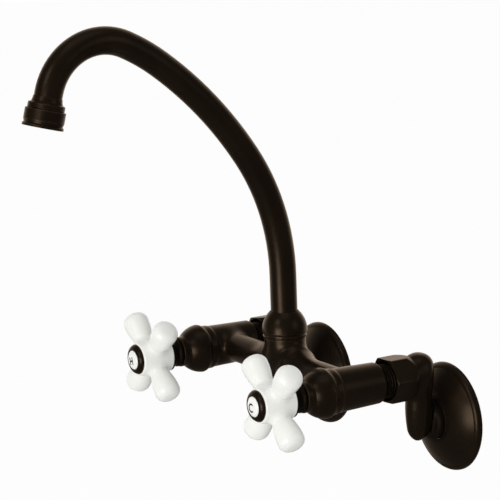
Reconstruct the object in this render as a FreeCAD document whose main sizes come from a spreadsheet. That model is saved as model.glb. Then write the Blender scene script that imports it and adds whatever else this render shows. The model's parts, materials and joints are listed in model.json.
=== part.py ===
"""Wall-mount bridge faucet with a swivel gooseneck spout and two porcelain cross handles.

Millimetres.  The wall is the plane y = 0 and the faucet stands out from it along -Y; +Z is up and +X is
the cold side.  The origin lies on the wall, midway between the two valves, at the height of their axes.

Most pieces are turned.  A valve piece is drawn in a frame whose Z axis is the valve's axis and points
away from the wall, so a height in that frame is a distance from the wall.
"""
import FreeCAD, Part
import math
import os
import Sketcher

# Driving sizes.  Each has one value, in millimetres or degrees.
SIZES = {
    # valve line, counted from the wall outwards
    "body_spread": 152.4,        # between the two valve axes
    "shank_gap": 1.5,            # arm's shank to the wall
    "arm_back": 21.0,            # back of the arm's upper boss, from the wall
    "arm_boss_length": 12.6,
    "tail_length": 5.4,          # arm's tail, out of its boss into the union nut
    "union_washer_thick": 2.0,
    "neck_length": 17.6,         # threaded neck behind the barrel
    "barrel_length": 32.0,
    "ring_length": 5.6,          # stepped ring between barrel and bonnet
    "bonnet_length": 19.2,
    "handle_gap": 0.8,           # bonnet to handle skirt
    "skirt_length": 8.2,
    "handle_depth": 22.5,        # porcelain, front to back
    # cast body
    "barrel_front_radius": 14.05,
    "barrel_back_radius": 13.2,
    "barrel_edge": 1.4,
    "neck_radius": 11.0,
    "gallery_radius": 9.7,
    "waterway_radius": 6.0,
    "seat_depth": 23.6,          # valve seat, from the barrel's front
    "thread_depth": 7.5,
    "thread_radius": 10.4,       # cartridge thread
    "bridge_set_back": 13.0,     # bridge axis behind the barrel's front
    "bridge_radius": 9.5,
    "bridge_root_radius": 14.3,
    "bridge_root": 15.0,         # half width of the thick middle of the bridge
    "bridge_waist": 34.0,        # where the bridge is thinnest, from the middle
    "bridge_flare": 40.0,
    "bridge_bore_radius": 5.5,
    "hub_radius": 13.6,
    "hub_top": 18.2,
    "hub_bottom": 16.0,
    "hub_edge": 6.0,
    "hub_neck_radius": 12.6,
    "hub_neck_length": 7.8,
    "hub_bore_bottom": 6.0,
    "socket_floor": 3.5,
    "socket_radius": 11.2,
    # spout nut and what it holds
    "trim_thick": 3.7,
    "trim_radius": 14.4,
    "trim_neck_radius": 13.8,
    "trim_bead": 1.4,             # width of the trim ring's bead
    "nut_base_radius": 14.4,
    "nut_belly_radius": 14.9,
    "nut_belly": 1.3,
    "nut_height": 14.6,
    "nut_mouth_radius": 9.7,
    "nut_mouth_edge": 0.5,
    "nut_dome": 18.4,
    "shoulder_radius": 12.0,
    "shoulder_thick": 2.0,
    "slip_thick": 1.4,
    "bush_foot": 5.0,
    "seal_section": 0.75,
    "groove_room": 0.15,         # on each side of a seal in its groove
    "lower_seal": 10.0,
    "upper_seal": 17.0,
    # spout tube
    "tube_radius": 8.75,
    "tube_wall": 1.25,
    "tube_foot": 8.0,
    "first_bend_start": 60.2,
    "first_bend_radius": 147.0,
    "first_bend_angle": 33.5,
    "second_bend_radius": 261.5,
    "second_bend_angle": 19.7,
    "third_bend_radius": 136.6,
    "third_bend_angle": 11.2,
    "crook_radius": 38.4,
    "crook_angle": 100.6,
    "tube_end": 8.2,             # straight end inside the tip collar
    # tip of the spout, counted along the outlet from the end of the last bend
    "flare_start": 2.6,          # sleeve of the collar, from the end of the last bend
    "flare_radius": 9.9,
    "sleeve_wall": 0.3,
    "tip_edge": 0.4,             # small bevels on the collar and the housing
    "flare_length": 3.6,
    "flare_curve": 9.0,
    "collar_bevel": 0.4,         # slope from the flare up to the collar
    "collar_radius": 11.5,
    "collar_length": 3.3,
    "tip_thread_radius": 10.6,
    "tip_thread_length": 4.6,
    "housing_gap": 0.35,
    "housing_radius": 12.65,
    "housing_length": 6.85,
    "housing_waist_radius": 12.0,
    "housing_waist": 2.0,        # taper from the full radius to the waist
    "lip_radius": 12.85,
    "lip_flare": 0.8,            # flare from the waist out to the lip
    "lip_length": 1.5,
    "lip_bore_radius": 9.0,
    "outlet_radius": 9.9,
    "aerator_washer_thick": 0.95,
    "washer_overlap": 0.5,       # how far the washer reaches in over the tube's bore
    "insert_length": 3.95,
    "screen_thick": 0.5,
    "jet_radius": 1.1,
    "jet_circle": 6.2,
    "insert_jets": 8,
    "screen_jets": 10,
    # cartridge and its discs
    "cartridge_radius": 9.3,
    "chamber_radius": 8.4,
    "basket_gap": 0.9,
    "disc_radius": 8.2,
    "disc_thick": 3.1,
    "seat_seal_thick": 3.1,
    "driver_thick": 4.7,
    "port_radius": 2.4,
    "port_offset": 4.8,
    "window_width": 8.0,
    "window_length": 4.4,
    "window_rise": 0.6,          # over the face of the fixed disc
    "gasket_thick": 1.0,
    "hex_thick": 4.0,
    "hex_across": 23.0,
    "sleeve_radius": 7.3,
    "sleeve_length": 12.3,
    "stem_radius": 5.8,
    "spline_radius": 4.0,
    "spline_length": 18.2,
    "stem_seal_depth": 4.0,      # upper seal, from the end of the sleeve
    "stem_seal_spacing": 5.0,
    "clip_thick": 1.2,
    "clip_radius": 7.0,
    "clip_groove": 0.9,
    "clip_bend_angle": 300.0,          # how far round the clip goes
    "stem_shoulder": 0.6,        # plain end of the stem in front of the clip
    # bonnet and its ring
    "ring_radius": 14.6,
    "ring_foot": 1.8,            # its slope, from the barrel out to its full radius
    "ring_edge": 0.6,
    "bonnet_back_radius": 14.8,
    "bonnet_radius": 16.15,
    "bonnet_belly": 3.0,         # its sharp rim, from the bonnet's back
    "bonnet_dome": 17.0,
    "bonnet_throat": 13.75,      # where the dome ends, from the bonnet's back
    "bonnet_throat_radius": 11.0,
    "bonnet_neck_radius": 10.0,
    "bonnet_neck_length": 3.4,
    "bonnet_wall": 2.2,
    "bonnet_lip": 1.2,           # width of its back edge
    "bonnet_rim_curve": 6.0,
    "bonnet_neck_curve": 3.0,
    "bonnet_neck_edge": 0.4,
    # handle
    "skirt_bead_radius": 9.5,
    "skirt_waist_radius": 8.6,
    "skirt_rim_radius": 11.2,
    "skirt_bead_edge": 0.6,
    "skirt_bead": 1.1,           # straight side of the bead
    "skirt_step": 0.8,
    "skirt_waist": 0.5,
    "skirt_curve": 8.0,
    "skirt_rim": 1.2,
    "core_radius": 5.6,
    "core_web": 2.5,
    "core_short": 0.8,           # core's end, behind the porcelain's front
    "screw_head_radius": 3.9,
    "screw_head_height": 2.9,
    "screw_radius": 2.0,
    "screw_length": 11.0,
    "screw_room": 1.0,           # left in the tapped hole under the screw's tip
    "screw_crown": 7.0,          # curve of the screw's head
    "screw_head_side": 1.7,      # straight side of the head
    "screw_slot_width": 1.0,
    "screw_slot_depth": 1.4,
    "screw_seat_gap": 0.3,       # core to the end of the stem
    "porcelain_back_radius": 11.8,
    "porcelain_hub_radius": 12.6,
    "porcelain_front_radius": 11.2,
    "porcelain_edge": 1.2,
    "porcelain_back_edge": 1.26,
    "porcelain_side_curve": 60.0,
    "cross_angle": 45.0,         # the lobes stand between upright and level
    "lobe_count": 4,
    "lobe_reach": 33.7,
    "lobe_end_curve": 22.0,
    "lobe_corner": 5.5,
    "lobe_cap_angle": 10.8,      # half angle of its flattened end
    "lobe_side_curve": 45.0,
    "lobe_neck_radius": 5.9,
    "lobe_neck": 13.0,
    "lobe_level": 11.3,          # lobe axis, from the porcelain's back
    "counterbore_radius": 7.4,
    "counterbore_depth": 6.0,
    "index_radius": 10.0,
    "index_height": 3.3,
    "index_dome": 4.2,
    "index_side": 0.5,           # straight side of the ring
    "index_face": 0.5,           # flat round the button
    "index_inner_edge": 0.3,
    "index_sleeve_gap": 0.5,     # sleeve's end to the floor of the counterbore
    "button_seat_depth": 1.1,    # its seat, below the ring's top
    "button_radius": 6.35,
    "button_rim": 0.9,
    "button_height": 2.0,
    "button_flat": 3.9,
    "button_dome": 4.5,
    "mark_height": 5.4,
    "mark_width": 3.8,
    "mark_stroke": 0.8,
    "mark_opening_angle": 48.0,        # half the opening of the cold mark
    "mark_thick": 0.12,
    # union nut, arm and flange
    "nut_across": 27.9,
    "nut_length": 17.8,
    "nut_lip": 3.2,
    "nut_gap": 0.6,              # nut to the arm's boss
    "nut_face_radius": 14.3,
    "nut_back_radius": 13.6,
    "nut_back_taper": 6.0,       # length of the taper on its corners
    "nut_relief_radius": 13.2,   # counterbore in its front
    "nut_relief": 4.6,
    "hot_nut_angle": -10.0,      # where each nut has stopped
    "cold_nut_angle": -2.0,
    "arm_offset": 32.5,          # between the arm's two parallel axes
    "arm_lean_angle": 4.6,             # inwards, from straight down
    "arm_boss_radius": 13.2,
    "arm_boss_edge": 8.5,        # round on its back
    "arm_boss_bevel": 0.5,       # bevel on its front
    "tail_radius": 9.4,
    "tail_collar_radius": 10.8,
    "leg_distance": 25.0,        # leg axis, from the wall
    "leg_radius": 8.6,
    "leg_taper_start": 22.0,
    "leg_toe": 37.0,
    "leg_toe_radius": 7.0,
    "leg_end": 44.4,
    "leg_end_flat": 2.0,         # radius of the flat at its foot
    "leg_crown": 13.2,           # top of the leg, over its axis
    "leg_crown_edge": 5.5,
    "leg_side_curve": 60.0,
    "leg_end_curve": 6.6,
    "leg_bore_radius": 5.0,
    "shank_radius": 13.0,
    "shank_length": 16.0,
    "shank_edge": 3.0,
    "inlet_radius": 9.3,
    "inlet_length": 12.5,
    "flange_radius": 35.6,
    "flange_rim": 0.8,
    "flange_crease_radius": 32.3,
    "flange_crease": 4.4,
    "flange_rim_curve": 4.2,
    "flange_collar_radius": 14.4,
    "flange_dome": 40.0,
    "flange_height": 13.2,
    "flange_collar_edge": 0.8,
    "flange_wall": 1.4,
    # clearances
    "fit": 0.05,                 # pieces fixed to each other
    "running": 0.08,             # a shaft that turns in its bore
    "loose": 0.3,                # curved faces that turn past each other
}


class Size:
    """A length or an angle: the number it has now, and the sheet formula that gives it."""

    def __init__(self, value, formula=None):
        self.value = value
        self.formula = formula if formula is not None else repr(float(value))

    @staticmethod
    def of(thing):
        return thing if isinstance(thing, Size) else Size(thing)

    def __add__(self, other):
        other = Size.of(other)
        return Size(self.value + other.value, "(%s + %s)" % (self.formula, other.formula))

    def __radd__(self, other):
        return Size.of(other) + self

    def __sub__(self, other):
        other = Size.of(other)
        return Size(self.value - other.value, "(%s - %s)" % (self.formula, other.formula))

    def __rsub__(self, other):
        return Size.of(other) - self

    def __mul__(self, other):
        other = Size.of(other)
        return Size(self.value * other.value, "(%s * %s)" % (self.formula, other.formula))

    def __rmul__(self, other):
        return Size.of(other) * self

    def __truediv__(self, other):
        other = Size.of(other)
        return Size(self.value / other.value, "(%s / %s)" % (self.formula, other.formula))

    def __neg__(self):
        return self * -1

    def sin(self):
        return Size(math.sin(math.radians(self.value)), "sin(%s)" % self.formula)

    def cos(self):
        return Size(math.cos(math.radians(self.value)), "cos(%s)" % self.formula)


class Sizes:
    """The driving sizes, read as attributes."""


doc = FreeCAD.newDocument("Faucet")
sheet = doc.addObject("Spreadsheet::Sheet", "Sizes")
S = Sizes()
for row, (name, number) in enumerate(SIZES.items(), start=1):
    sheet.set("A%d" % row, name)
    sheet.set("B%d" % row, str(number))
    sheet.setAlias("B%d" % row, name)
    setattr(S, name, Size(number, "Sizes." + name))
doc.recompute()

SQRT3 = math.sqrt(3.0)
OVER = 1.0                       # how far a cut runs past the face it opens
UPRIGHT = FreeCAD.Rotation()
OUTWARD = FreeCAD.Rotation(FreeCAD.Vector(1, 0, 0), 90)     # turns +Z to -Y, away from the wall
nodes = []


# ---------------------------------------------------------------- drawing helpers

def bind(thing, path, size):
    """Tie a property to the sheet."""
    thing.setExpression(path, Size.of(size).formula)


def new_body(name, turn=UPRIGHT, at_x=None, at_y=None, at_z=None):
    """An empty body that becomes one node, turned and set in its place."""
    body = doc.addObject("PartDesign::Body", name)
    body.Label = name
    body.Placement = FreeCAD.Placement(FreeCAD.Vector(0, 0, 0), turn)
    for axis, size in (("x", at_x), ("y", at_y), ("z", at_z)):
        if size is not None:
            bind(body, "Placement.Base." + axis, size)
    nodes.append(body)
    return body


def new_sketch(body, name, role="XZ_Plane", shift_x=None, shift_y=None, shift_z=None):
    """A sketch on one of the body's own planes, shifted within it or along its normal."""
    sketch = body.newObject("Sketcher::SketchObject", name)
    plane = [f for f in body.Origin.OriginFeatures if f.Role == role][0]
    sketch.AttachmentSupport = [(plane, "")]
    sketch.MapMode = "FlatFace"
    for axis, size in (("x", shift_x), ("y", shift_y), ("z", shift_z)):
        if size is not None:
            bind(sketch, "AttachmentOffset.Base." + axis, size)
    return sketch


def point_of(pair):
    return FreeCAD.Vector(Size.of(pair[0]).value, Size.of(pair[1]).value, 0)


def arc_between(start, end, radius, bulge):
    """Arc from start to end.  A positive bulge puts its centre left of the way from start to end."""
    chord = end - start
    half = chord.Length / 2
    rise = math.sqrt(max(radius * radius - half * half, 0.0))
    left = FreeCAD.Vector(-chord.y, chord.x, 0).normalize()
    centre = (start + end) * 0.5 + left * (rise if bulge > 0 else -rise)
    first, last = (start, end) if bulge > 0 else (end, start)
    circle = Part.Circle(centre, FreeCAD.Vector(0, 0, 1), radius)
    a0 = math.atan2(first.y - centre.y, first.x - centre.x)
    a1 = math.atan2(last.y - centre.y, last.x - centre.x)
    if a1 < a0:
        a1 += 2 * math.pi
    return Part.ArcOfCircle(circle, a0, a1)


def outline(sketch, points):
    """Closed outline.  A point is (across, along), and (across, along, radius, bulge) is reached by an arc."""
    corners = [point_of(p) for p in points]
    count = len(points)
    base = sketch.GeometryCount
    pieces = []
    ends = []
    for i in range(count):
        start = corners[i - 1]
        end = corners[i]
        if len(points[i]) == 4:
            bulge = points[i][3]
            pieces.append(arc_between(start, end, Size.of(points[i][2]).value, bulge))
            ends.append((1, 2) if bulge > 0 else (2, 1))
        else:
            pieces.append(Part.LineSegment(start, end))
            ends.append((1, 2))
    sketch.addGeometry(pieces, False)
    rules = []
    bound = []
    for i in range(count):
        after = (i + 1) % count
        rules.append(Sketcher.Constraint("Coincident", base + i, ends[i][1], base + after, ends[after][0]))
    for i in range(count):
        for kind, axis, size in (("DistanceX", -2, points[i][0]), ("DistanceY", -1, points[i][1])):
            if isinstance(size, Size):
                bound.append((len(rules), size))
                rules.append(Sketcher.Constraint(kind, -1, 1, base + i, ends[i][1], size.value))
            elif size == 0:
                rules.append(Sketcher.Constraint("PointOnObject", base + i, ends[i][1], axis))
            else:
                rules.append(Sketcher.Constraint(kind, -1, 1, base + i, ends[i][1], size))
        if len(points[i]) == 4:
            bound.append((len(rules), Size.of(points[i][2])))
            rules.append(Sketcher.Constraint("Radius", base + i, Size.of(points[i][2]).value))
    first_rule = sketch.ConstraintCount
    sketch.addConstraint(rules)
    for index, size in bound:
        bind(sketch, "Constraints[%d]" % (first_rule + index), size)


def circle(sketch, x, y, radius):
    """Circle of a bound radius about a bound centre."""
    centre = FreeCAD.Vector(Size.of(x).value, Size.of(y).value, 0)
    number = sketch.addGeometry(Part.Circle(centre, FreeCAD.Vector(0, 0, 1), Size.of(radius).value), False)
    rules = [
        ("DistanceX", -1, 1, number, 3, Size.of(x)),
        ("DistanceY", -1, 1, number, 3, Size.of(y)),
    ]
    for kind, a, b, c, d, size in rules:
        index = sketch.addConstraint(Sketcher.Constraint(kind, a, b, c, d, size.value))
        bind(sketch, "Constraints[%d]" % index, size)
    index = sketch.addConstraint(Sketcher.Constraint("Radius", number, Size.of(radius).value))
    bind(sketch, "Constraints[%d]" % index, radius)


def revolve(body, name, sketch, axis="V_Axis", kind="Revolution"):
    """Turn a sketch fully about one of its axes, adding to the body or cutting it."""
    feature = body.newObject("PartDesign::" + kind, name)
    feature.Profile = sketch
    feature.ReferenceAxis = (sketch, [axis])
    feature.Angle = 360
    return feature


def pad(body, name, sketch, length):
    """Raise a sketch into a block of the given length."""
    feature = body.newObject("PartDesign::Pad", name)
    feature.Profile = sketch
    bind(feature, "Length", length)
    return feature


def cut_through(body, name, sketch):
    """Cut a sketch through the whole body, both ways."""
    feature = body.newObject("PartDesign::Pocket", name)
    feature.Profile = sketch
    feature.Type = "ThroughAll"
    feature.Midplane = True
    return feature


def turned(name, points, turn=UPRIGHT, at_x=None, at_y=None, at_z=None):
    """A whole turned piece from one outline of (radius, height) points."""
    body = new_body(name, turn, at_x, at_y, at_z)
    sketch = new_sketch(body, name + "_profile")
    outline(sketch, points)
    revolve(body, name + "_turned", sketch)
    return body


def drilled(body, name, points, role="XZ_Plane", axis="V_Axis", **shift):
    """Turn away the inside of an outline."""
    sketch = new_sketch(body, name + "_profile", role, **shift)
    outline(sketch, points)
    return revolve(body, name, sketch, axis, kind="Groove")


def box_outline(x0, x1, y0, y1):
    return [(x0, y0), (x1, y0), (x1, y1), (x0, y1)]


def tube_outline(inner, outer, low, high):
    """Outline of a plain ring."""
    return [(inner, low), (outer, low), (outer, high), (inner, high)]


def hexagon(sketch, across):
    """Hexagon with flats at the top and bottom."""
    half = across / 2
    flat = half / SQRT3
    corner = across / SQRT3
    outline(sketch, [(corner, 0), (flat, half), (-flat, half), (-corner, 0), (-flat, -half), (flat, -half)])


# ---------------------------------------------------------------- places worked out from the sizes

half_spread = S.body_spread / 2

arm_front = S.arm_back + S.arm_boss_length
tail_face = arm_front + S.tail_length
neck_end = tail_face + S.union_washer_thick
barrel_back = neck_end + S.neck_length
barrel_front = barrel_back + S.barrel_length
ring_front = barrel_front + S.ring_length
bonnet_back = ring_front + S.fit
bonnet_front = bonnet_back + S.bonnet_length
skirt_back = bonnet_front + S.handle_gap
porcelain_back = skirt_back + S.skirt_length
porcelain_front = porcelain_back + S.handle_depth

bridge_line = barrel_front - S.bridge_set_back
seat = barrel_front - S.seat_depth
thread_end = barrel_front - S.thread_depth
thread_bore = S.thread_radius + S.fit

# ---------------------------------------------------------------- cast body


def cast_body():
    """One casting: two tapered barrels, the bridge that joins them, and the hub that carries the spout."""
    body = new_body("faucet_body", OUTWARD)
    barrel = [
        (0, neck_end),
        (S.neck_radius, neck_end),
        (S.neck_radius, barrel_back),
        (S.barrel_back_radius - S.barrel_edge, barrel_back),
        (S.barrel_back_radius, barrel_back + S.barrel_edge, S.barrel_edge, 1),
        (S.barrel_front_radius, barrel_front),
        (0, barrel_front),
    ]
    for side, way in (("hot", -1), ("cold", 1)):
        sketch = new_sketch(body, side + "_barrel_profile", shift_x=half_spread * way)
        outline(sketch, barrel)
        revolve(body, side + "_barrel", sketch)

    bridge = new_sketch(body, "bridge_profile", "XY_Plane", shift_z=bridge_line)
    outline(bridge, [
        (-half_spread, 0),
        (half_spread, 0),
        (half_spread, S.bridge_radius),
        (S.bridge_waist, S.bridge_radius),
        (S.bridge_root, S.bridge_root_radius, S.bridge_flare, -1),
        (-S.bridge_root, S.bridge_root_radius),
        (-S.bridge_waist, S.bridge_radius, S.bridge_flare, -1),
        (-half_spread, S.bridge_radius),
    ])
    revolve(body, "bridge", bridge, "H_Axis")

    neck_top = S.hub_top + S.hub_neck_length
    hub = new_sketch(body, "hub_profile", "XY_Plane", shift_z=bridge_line)
    outline(hub, [
        (0, -S.hub_bottom),
        (S.hub_radius - S.hub_edge, -S.hub_bottom),
        (S.hub_radius, S.hub_edge - S.hub_bottom, S.hub_edge, 1),
        (S.hub_radius, S.hub_top),
        (S.hub_neck_radius, S.hub_top),
        (S.hub_neck_radius, neck_top),
        (0, neck_top),
    ])
    revolve(body, "hub", hub)

    bore = [
        (0, neck_end - OVER),
        (S.waterway_radius, neck_end - OVER),
        (S.waterway_radius, seat),
        (S.gallery_radius, seat),
        (S.gallery_radius, thread_end),
        (thread_bore, thread_end),
        (thread_bore, barrel_front + OVER),
        (0, barrel_front + OVER),
    ]
    for side, way in (("hot", -1), ("cold", 1)):
        drilled(body, side + "_bore", bore, shift_x=half_spread * way)
    bridge_end = half_spread - S.gallery_radius + S.fit
    drilled(body, "bridge_bore", [
        (-bridge_end, 0),
        (bridge_end, 0),
        (bridge_end, S.bridge_bore_radius),
        (-bridge_end, S.bridge_bore_radius),
    ], "XY_Plane", "H_Axis", shift_z=bridge_line)
    drilled(body, "hub_bore", [
        (0, -S.hub_bore_bottom),
        (S.waterway_radius, -S.hub_bore_bottom),
        (S.waterway_radius, S.socket_floor),
        (S.socket_radius, S.socket_floor),
        (S.socket_radius, neck_top + OVER),
        (0, neck_top + OVER),
    ], "XY_Plane", shift_z=bridge_line)


# ---------------------------------------------------------------- spout joint: nut, rings, bush and seals


def spout_joint():
    """What holds the spout down on the hub and lets it swivel.  Heights are over the valve axes."""
    place = {"at_y": -bridge_line}
    trim_top = S.hub_top + S.trim_thick
    bead = (S.hub_top + trim_top) / 2
    half_bead = S.trim_bead / 2
    slope = S.trim_radius - S.trim_neck_radius
    turned("spout_trim_ring", [
        (S.hub_neck_radius + S.fit, S.hub_top),
        (S.trim_neck_radius, S.hub_top),
        (S.trim_neck_radius, bead - half_bead),
        (S.trim_radius, bead - half_bead + slope / 2),
        (S.trim_radius, bead + half_bead - slope / 2),
        (S.trim_neck_radius, bead + half_bead),
        (S.trim_neck_radius, trim_top),
        (S.hub_neck_radius + S.fit, trim_top),
    ], **place)

    neck_top = S.hub_top + S.hub_neck_length
    shoulder_low = neck_top + S.fit
    shoulder_top = shoulder_low + S.shoulder_thick
    slip_low = shoulder_top + S.fit
    slip_top = slip_low + S.slip_thick
    nut_thread = S.hub_neck_radius + S.fit
    cavity = S.shoulder_radius + S.loose
    mouth = S.tube_radius + S.loose
    top = trim_top + S.nut_height
    turned("spout_nut", [
        (nut_thread, trim_top),
        (S.nut_base_radius, trim_top),
        (S.nut_belly_radius, trim_top + S.nut_belly),
        (S.nut_mouth_radius, top - S.nut_mouth_edge, S.nut_dome, 1),
        (S.nut_mouth_radius - S.nut_mouth_edge, top),
        (mouth, top),
        (mouth, slip_top),
        (cavity, slip_top),
        (cavity, neck_top),
        (nut_thread, neck_top),
    ], **place)
    turned("spout_slip_ring", tube_outline(
        S.tube_radius + S.loose, S.shoulder_radius, slip_low, slip_top), **place)

    bush_radius = S.socket_radius - S.running
    bore = S.tube_radius + S.fit
    groove_floor = bush_radius - 2 * S.seal_section + S.fit
    groove_half = S.seal_section + S.groove_room
    profile = [(bore, S.bush_foot), (bush_radius, S.bush_foot)]
    for level in (S.lower_seal, S.upper_seal):
        profile += [
            (bush_radius, level - groove_half),
            (groove_floor, level - groove_half),
            (groove_floor, level + groove_half),
            (bush_radius, level + groove_half),
        ]
    profile += [
        (bush_radius, shoulder_low),
        (S.shoulder_radius, shoulder_low),
        (S.shoulder_radius, shoulder_top),
        (bore, shoulder_top),
    ]
    turned("spout_bush", profile, **place)
    seal_middle = groove_floor + S.seal_section
    seal_group("spout_seals", seal_middle, S.seal_section, (S.lower_seal, S.upper_seal), **place)


def seal_group(name, middle, section, levels, turn=UPRIGHT, at_x=None, at_y=None, at_z=None):
    """Round-section rings of one kind, as separate solids in one node."""
    rings = []
    for number, level in enumerate(levels, start=1):
        ring = doc.addObject("Part::Torus", "%s_%d" % (name, number))
        bind(ring, "Radius1", middle)
        bind(ring, "Radius2", section)
        bind(ring, "Placement.Base.z", level)
        rings.append(ring)
    group = doc.addObject("Part::Compound", name)
    group.Label = name
    group.Links = rings
    group.Placement = FreeCAD.Placement(FreeCAD.Vector(0, 0, 0), turn)
    for axis, size in (("x", at_x), ("y", at_y), ("z", at_z)):
        if size is not None:
            bind(group, "Placement.Base." + axis, size)
    nodes.append(group)
    return group


# ---------------------------------------------------------------- spout tube

bends = (
    ("first", S.first_bend_radius, S.first_bend_angle),
    ("second", S.second_bend_radius, S.second_bend_angle),
    ("third", S.third_bend_radius, S.third_bend_angle),
    ("crook", S.crook_radius, S.crook_angle),
)


def spout_end():
    """Where the last bend ends, as a distance in front of the hub, a height, and the way it has turned."""
    reach = Size(0)
    height = S.first_bend_start
    heading = Size(0)
    for name, radius, angle in bends:
        after = heading + angle
        reach = reach + radius * (heading.cos() - after.cos())
        height = height + radius * (after.sin() - heading.sin())
        heading = after
    return reach, height, heading


def spout_tube():
    """Bent tube: straight up out of the nut, three long bends, a tight crook, and a short straight end."""
    body = new_body("spout_tube", at_y=-bridge_line)
    path = new_sketch(body, "spout_path", "YZ_Plane")
    x, z, turn = 0.0, S.first_bend_start.value, 0.0
    lines = [Part.LineSegment(FreeCAD.Vector(0, S.tube_foot.value, 0), FreeCAD.Vector(0, z, 0))]
    for name, radius, angle in bends:
        centre = FreeCAD.Vector(x - radius.value * math.cos(turn), z - radius.value * math.sin(turn), 0)
        bend = Part.Circle(centre, FreeCAD.Vector(0, 0, 1), radius.value)
        lines.append(Part.ArcOfCircle(bend, turn, turn + math.radians(angle.value)))
        turn += math.radians(angle.value)
        x = centre.x + radius.value * math.cos(turn)
        z = centre.y + radius.value * math.sin(turn)
    end = FreeCAD.Vector(x - S.tube_end.value * math.sin(turn), z + S.tube_end.value * math.cos(turn), 0)
    lines.append(Part.LineSegment(FreeCAD.Vector(x, z, 0), end))
    path.addGeometry(lines, False)
    last = len(lines) - 1
    rules = [
        Sketcher.Constraint("PointOnObject", 0, 1, -2),
        Sketcher.Constraint("Vertical", 0),
    ]
    for i in range(last):
        rules.append(Sketcher.Constraint("Tangent", i, 2, i + 1, 1))
    path.addConstraint(rules)

    def measured(rule, size):
        bind(path, "Constraints[%d]" % path.addConstraint(rule), size)

    foot = S.tube_foot.value
    measured(Sketcher.Constraint("DistanceY", -1, 1, 0, 1, foot), S.tube_foot)
    start = S.first_bend_start.value
    measured(Sketcher.Constraint("DistanceY", -1, 1, 0, 2, start), S.first_bend_start)
    for i, (name, radius, angle) in enumerate(bends, start=1):
        measured(Sketcher.Constraint("Radius", i, radius.value), radius)
        spread = math.radians(angle.value)
        measured(Sketcher.Constraint("Angle", i, spread), angle)
    measured(Sketcher.Constraint("Distance", last, S.tube_end.value), S.tube_end)

    edges = ["Edge%d" % (i + 1) for i in range(len(lines))]
    for kind, radius in (("Additive", S.tube_radius), ("Subtractive", S.tube_radius - S.tube_wall)):
        section = new_sketch(body, kind.lower() + "_section", "XY_Plane", shift_z=S.tube_foot)
        circle(section, 0, 0, radius)
        pipe = body.newObject("PartDesign::%sPipe" % kind, kind.lower() + "_pipe")
        pipe.Profile = section
        pipe.Spine = (path, edges)


# ---------------------------------------------------------------- tip of the spout


def spout_tip():
    """Collar soldered on the tube's end, and the aerator screwed on it.  Heights are along the outlet."""
    reach, height, heading = spout_end()
    turn = FreeCAD.Rotation(FreeCAD.Vector(1, 0, 0), heading.value)
    place = {"turn": turn, "at_y": -bridge_line - reach, "at_z": height}
    tube_hole = S.tube_radius + S.fit
    tube_bore = S.tube_radius - S.tube_wall
    edge = S.tip_edge
    flare_end = S.flare_start + S.flare_length
    collar_low = flare_end + S.collar_bevel
    collar_end = collar_low + S.collar_length
    thread_low = collar_end + S.tip_thread_length
    turned("tip_collar", [
        (tube_hole, S.flare_start),
        (tube_hole + S.sleeve_wall, S.flare_start),
        (S.flare_radius, flare_end, S.flare_curve, -1),
        (S.collar_radius - edge, collar_low),
        (S.collar_radius, collar_low + edge),
        (S.collar_radius, collar_end - edge),
        (S.collar_radius - edge, collar_end),
        (S.tip_thread_radius, collar_end),
        (S.tip_thread_radius, thread_low),
        (tube_bore, thread_low),
        (tube_bore, S.tube_end),
        (tube_hole, S.tube_end),
    ], **place)

    housing_low = collar_end + S.housing_gap
    thread_hole = S.tip_thread_radius + S.fit
    ledge = thread_low + S.aerator_washer_thick
    insert_end = ledge + S.insert_length
    screen_end = insert_end + S.screen_thick
    side_end = housing_low + S.housing_length
    waist = side_end + S.housing_waist
    lip = waist + S.lip_flare
    turned("aerator_housing", [
        (thread_hole, housing_low),
        (S.housing_radius - edge, housing_low),
        (S.housing_radius, housing_low + edge),
        (S.housing_radius, side_end),
        (S.housing_waist_radius, waist),
        (S.lip_radius, lip),
        (S.lip_radius, lip + S.lip_length),
        (S.lip_bore_radius, lip + S.lip_length),
        (S.lip_bore_radius, screen_end),
        (S.outlet_radius, screen_end),
        (S.outlet_radius, ledge),
        (thread_hole, ledge),
    ], **place)
    washer_hole = tube_bore - S.washer_overlap
    turned("aerator_washer", tube_outline(washer_hole, S.tip_thread_radius, thread_low, ledge), **place)
    insert_radius = S.outlet_radius - S.fit
    for name, low, high, jets in (
        ("aerator_insert", ledge, insert_end, SIZES["insert_jets"]),
        ("aerator_screen", insert_end, screen_end, SIZES["screen_jets"]),
    ):
        body = turned(name, [(0, low), (insert_radius, low), (insert_radius, high), (0, high)], **place)
        jet = new_sketch(body, name + "_jet", "XY_Plane", shift_z=low)
        circle(jet, S.jet_circle, 0, S.jet_radius)
        hole = cut_through(body, name + "_hole", jet)
        pattern = body.newObject("PartDesign::PolarPattern", name + "_jets")
        pattern.Originals = [hole]
        pattern.Axis = (jet, ["N_Axis"])
        pattern.Angle = 360
        pattern.Occurrences = jets
        body.Tip = pattern


# ---------------------------------------------------------------- valves


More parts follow.
